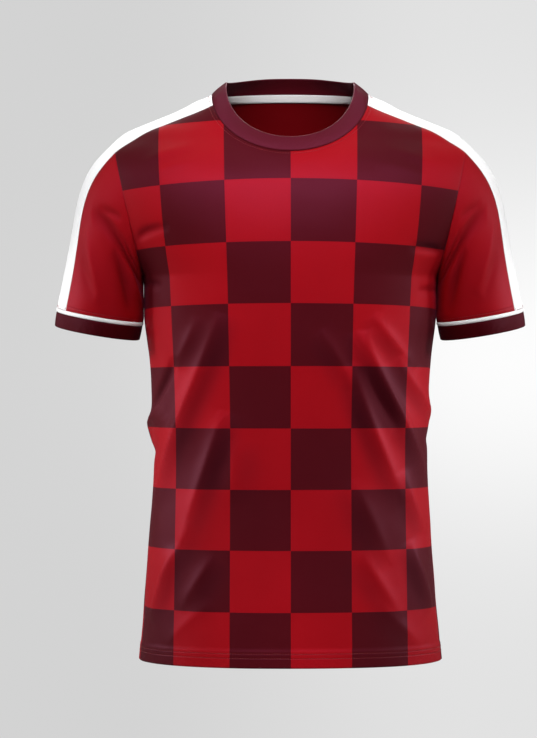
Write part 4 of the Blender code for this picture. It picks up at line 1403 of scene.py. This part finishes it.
# the same for the pieces that come in pairs
pairs = {
    "sleeve": ("sleeve", "sleeveKnit", "red_knit", (0.420, 0.200), 0.0383, "hung", ("sleeve_stripe",)),
    "shoulderStripe": ("shoulder_stripe", "whiteKnit", "white_knit", (0.080, 0.150), 0.0105, "stretched", ()),
    "sleeveStripe": ("sleeve_stripe", "whiteKnit", "white_knit", (0.085, 0.225), 0.0174, "stretched", ()),
    "piping": ("cuff_piping", "whiteKnit", "white_knit", (0.355, 0.010), 0.0022, "stretched", ()),
    "cuff": ("cuff", "cuffRib", "maroon_rib", (0.353, 0.0195), None, "stretched", ()),
}
for name, (node, *facts, carriers) in pairs.items():
    for side in ("left", "right"):
        beneath = [carrier + "_" + side for carrier in carriers]
        pieces[name + side.capitalize()] = (node + "_" + side, *facts, beneath)


def settleFolds():
    shared = shareNormals(list(cloths.values()))
    for cloth, normals in zip(cloths.values(), shared):
        cloth.points = cloth.points + normals * cloth.lift[:, None]


def makeShell(name, cloth, normals, finish):
    number = cloth.welded()
    points = cloth.points.copy()
    away = np.zeros_like(points)
    rim = cloth.rim()
    for a, b in rim:
        way = np.cross(points[b] - points[a], normals[a] + normals[b])
        way /= np.linalg.norm(way)
        for end in (a, b):
            away[number == number[end]] += way
    length = np.linalg.norm(away, axis=1)
    onRim = length > 0
    away[onRim] /= length[onRim][:, None]
    sewn = onRim & ~cloth.free
    points[sewn] -= normals[sewn] * shell["seamSink"]
    inner = points - normals * cloth.wall[:, None]
    rounded = np.where(cloth.free, cloth.wall * shell["roundOut"], 0)
    middle = (points + inner) / 2 + away * rounded[:, None]

    count = len(points)
    allPoints = np.concatenate([points, inner, middle])
    allPlaces = np.concatenate([cloth.flatPlaces] * 3)
    allPlaces[2 * count :, 1] -= shell["edgePlace"]
    numbers = np.concatenate([number, number + count, number + 2 * count])
    outer = cloth.quads
    lining = cloth.quads[:, ::-1] + count
    rim = np.array(rim)
    a, b = rim[:, 0], rim[:, 1]
    fromOuter = np.stack([b, a, a + 2 * count, b + 2 * count], 1)
    toLining = np.stack([b + 2 * count, a + 2 * count, a + count, b + count], 1)
    quads = np.concatenate([outer, lining, fromOuter, toLining])
    used, corner = np.unique(numbers[quads], return_inverse=True)
    first = np.zeros(numbers.max() + 1, int)
    first[numbers[::-1]] = np.arange(len(numbers))[::-1]
    made = bpy.data.meshes.new(name)
    made.from_pydata(allPoints[first[used]].tolist(), [], corner.reshape(quads.shape).tolist())
    made.uv_layers.new(name="cloth").data.foreach_set("uv", allPlaces[quads].reshape(-1).astype(np.float32))
    marks = {mark: np.tile(values, 3) for mark, values in cloth.marks.items()}
    # painted shade: 1 on the inner face, half on the rounded edges
    marks["insideShade"] = np.repeat([0.0, 1.0, 0.5], count)
    for mark, values in marks.items():
        layer = made.attributes.new(mark, "FLOAT", "POINT")
        layer.data.foreach_set("value", values[first[used]].astype(np.float32))
    made.materials.append(finish)
    made.shade_smooth()
    made.set_sharp_from_angle(angle=shell["sharp"])
    piece = addObject(name, made)
    c, d, e, f = (points[outer[:, k]] for k in range(4))
    area = np.linalg.norm(np.cross(e - c, f - d), axis=1).sum() / 2
    print(name, len(quads) * 2, "triangles", round(float(area), 4), "square metres")
    return piece


def makePieces():
    settleFolds()
    shared = shareNormals(list(cloths.values()))
    sewn = {}
    for (name, cloth), normals in zip(cloths.items(), shared):
        node, finish, slot, flatSize, area, held, carriers = pieces[name]
        piece = makeShell(name, cloth, normals, finishes[finish])
        sewn[name] = piece
        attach(piece, "root")
        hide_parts(node)
    return sewn


made = makePieces()
print("cloth sewn up")

# ---- stitches: one is modelled, and copied along the hem, the neckline, the cuffs and the edges of the tape

stitch = {
    "length": 0.0026,
    "pitch": 0.0032,
    "thickness": 0.00042,
    "sink": 0.00012,
    # a stitch is looked for this far outside the cloth
    "search": 0.006,
    # the ends are thinner and dive into the cloth, as shares of the thickness
    "endThickness": 0.5,
    "endDrop": 0.7,
    "hemSteps": 161,
    "hemMargin": 0.0015,
    # a step each way along a line that gives its direction
    "feel": 1e-3,
    # points that the stitches face away from, and the middle of the neckline, over it
    "neckInside": (0, 0, -0.15),
    "tapeInside": (0, 0.3, -0.02),
    "neckMiddle": (0, 0, 0.05),
    # from the middle of a cuff's seam to a point beyond the cuff
    "beyondCuff": (0.05, 0, -0.3),
}


def modelStitch():
    bpy.ops.object.select_all(action="DESELECT")
    bpy.ops.mesh.primitive_cylinder_add(vertices=6, radius=0.5, depth=1.0, rotation=(0, math.pi / 2, 0))
    one = bpy.context.object
    bpy.ops.object.transform_apply(rotation=True)
    bpy.ops.object.mode_set(mode="EDIT")
    bpy.ops.mesh.select_all(action="SELECT")
    bpy.ops.mesh.bisect(plane_co=(0.25, 0, 0), plane_no=(1, 0, 0))
    bpy.ops.mesh.select_all(action="SELECT")
    bpy.ops.mesh.bisect(plane_co=(-0.25, 0, 0), plane_no=(1, 0, 0))
    bpy.ops.object.mode_set(mode="OBJECT")
    for point in one.data.vertices:
        x, y, z = point.co
        thin, drop = (stitch["endThickness"], stitch["endDrop"]) if abs(x) > 0.4 else (1, 0)
        thickness = stitch["thickness"]
        point.co = (x * stitch["length"], y * thickness * thin, z * thickness * thin - thickness * drop)
    points = np.array([point.co[:] for point in one.data.vertices])
    faces = [tuple(face.vertices) for face in one.data.polygons]
    bpy.data.objects.remove(one)
    return points, faces


stitchPoints, stitchFaces = modelStitch()
carrierTrees = {}


def surfaceOf(carrier):
    if carrier not in carrierTrees:
        data = made[carrier].data
        faces = [tuple(face.vertices) for face in data.polygons]
        carrierTrees[carrier] = BVHTree.FromPolygons([v.co[:] for v in data.vertices], faces)
    return carrierTrees[carrier]


def nearestOn(carriers, point):
    hits = [surfaceOf(carrier).find_nearest(Vector(point)) for carrier in carriers]
    place, up, *_ = min(hits, key=lambda hit: hit[3])
    return np.array(place), np.array(up)


def sewLine(name, lines, carriers, inside, finish):
    # each line is a row of places near the cloth; stitches lie on its face that looks away from `inside`
    allPoints, allFaces = [], []
    for line in lines:
        wanted = np.arange(stitch["pitch"] / 2, lengthsAlong(line)[-1], stitch["pitch"])
        centres, ahead, behind = (pointsAlong(line, wanted + k * stitch["feel"]) for k in (0, 1, -1))
        for centre, way in zip(centres, ahead - behind):
            outside = centre + (centre - inside) / np.linalg.norm(centre - inside) * stitch["search"]
            place, up = nearestOn(carriers, outside)
            way = way - up * (way @ up)
            way /= np.linalg.norm(way)
            frameOf = np.stack([way, np.cross(up, way), up])
            start = len(allPoints) * len(stitchPoints)
            lifted = place + up * (stitch["thickness"] / 2 - stitch["sink"])
            allPoints.append(stitchPoints @ frameOf + lifted)
            allFaces += [tuple(k + start for k in face) for face in stitchFaces]
    data = bpy.data.meshes.new(name)
    data.from_pydata(np.concatenate(allPoints).tolist(), [], allFaces)
    data.materials.append(finish)
    data.shade_smooth()
    piece = addObject(name, data)
    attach(piece, "root")
    print(name, len(allPoints), "stitches")


def makeThread(name, colour):
    finish, tree, shader = newFinish(name)
    place = nodeOf(tree, "ShaderNodeTexCoord").outputs["Object"]
    twist = nodeOf(tree, "ShaderNodeTexNoise")
    twist.inputs["Scale"].default_value = knit["threadScale"]
    tree.links.new(place, twist.inputs["Vector"])
    tone = maths(tree, "MULTIPLY_ADD", twist.outputs["Fac"], *knit["threadTone"])
    tree.links.new(scaleColour(tree, colour, tone), shader["Base Color"])
    shader["Roughness"].default_value = knit["threadRoughness"]
    return finish


redThread = makeThread("redThread", knit["thread"])
whiteThread = makeThread("whiteThread", knit["whiteThread"])


def hemLine(half, above):
    height = body["hem"] + above
    reach = sideAcross(half, np.array([height]))[0] - stitch["hemMargin"]
    return bodyPoint(half, np.linspace(-reach, reach, stitch["hemSteps"]), height)


def beside(line, carriers, away, centre):
    # the line moved over the cloth by `away`, out from the centre
    moved = []
    for point, way in zip(line, np.gradient(line, axis=0)):
        over = np.cross(way, nearestOn(carriers, point)[1])
        over /= np.linalg.norm(over)
        moved.append(point + over * away * np.sign(over @ (point - centre)))
    return np.array(moved)


for half in ("front", "back"):
    hems = [hemLine(half, stitchLines[name][1]) for name in ("lowerHem", "upperHem")]
    sewLine("hemStitch" + half.capitalize(), hems, [half], (0, 0, body["hem"]), redThread)

yoke = ["front", "back", "shoulderStripeLeft", "shoulderStripeRight"]
neckTurn = beside(neckSeam(), yoke, stitchLines["neck"][1], stitch["neckMiddle"])
sewLine("neckStitch", [neckTurn], yoke, stitch["neckInside"], redThread)
for side, mirror in (("Left", 1), ("Right", -1)):
    around = cuffRing() * (mirror, 1, 1)
    below = around.mean(axis=0) + np.multiply(stitch["beyondCuff"], (mirror, 1, 1))
    arm = ["sleeve" + side, "sleeveStripe" + side]
    line = beside(around, arm, stitchLines["cuff"][1], below)
    sewLine("cuffStitch" + side, [line], arm, around.mean(axis=0), redThread)
tapeRows = cloths["tape"].points.reshape(collar["tapeRows"] + 1, -1, 3)
tapeEdges = [(tapeRows[0] + tapeRows[1]) / 2, (tapeRows[-1] + tapeRows[-2]) / 2]
sewLine("tapeStitch", tapeEdges, ["tape"], stitch["tapeInside"], whiteThread)
print("stitched")
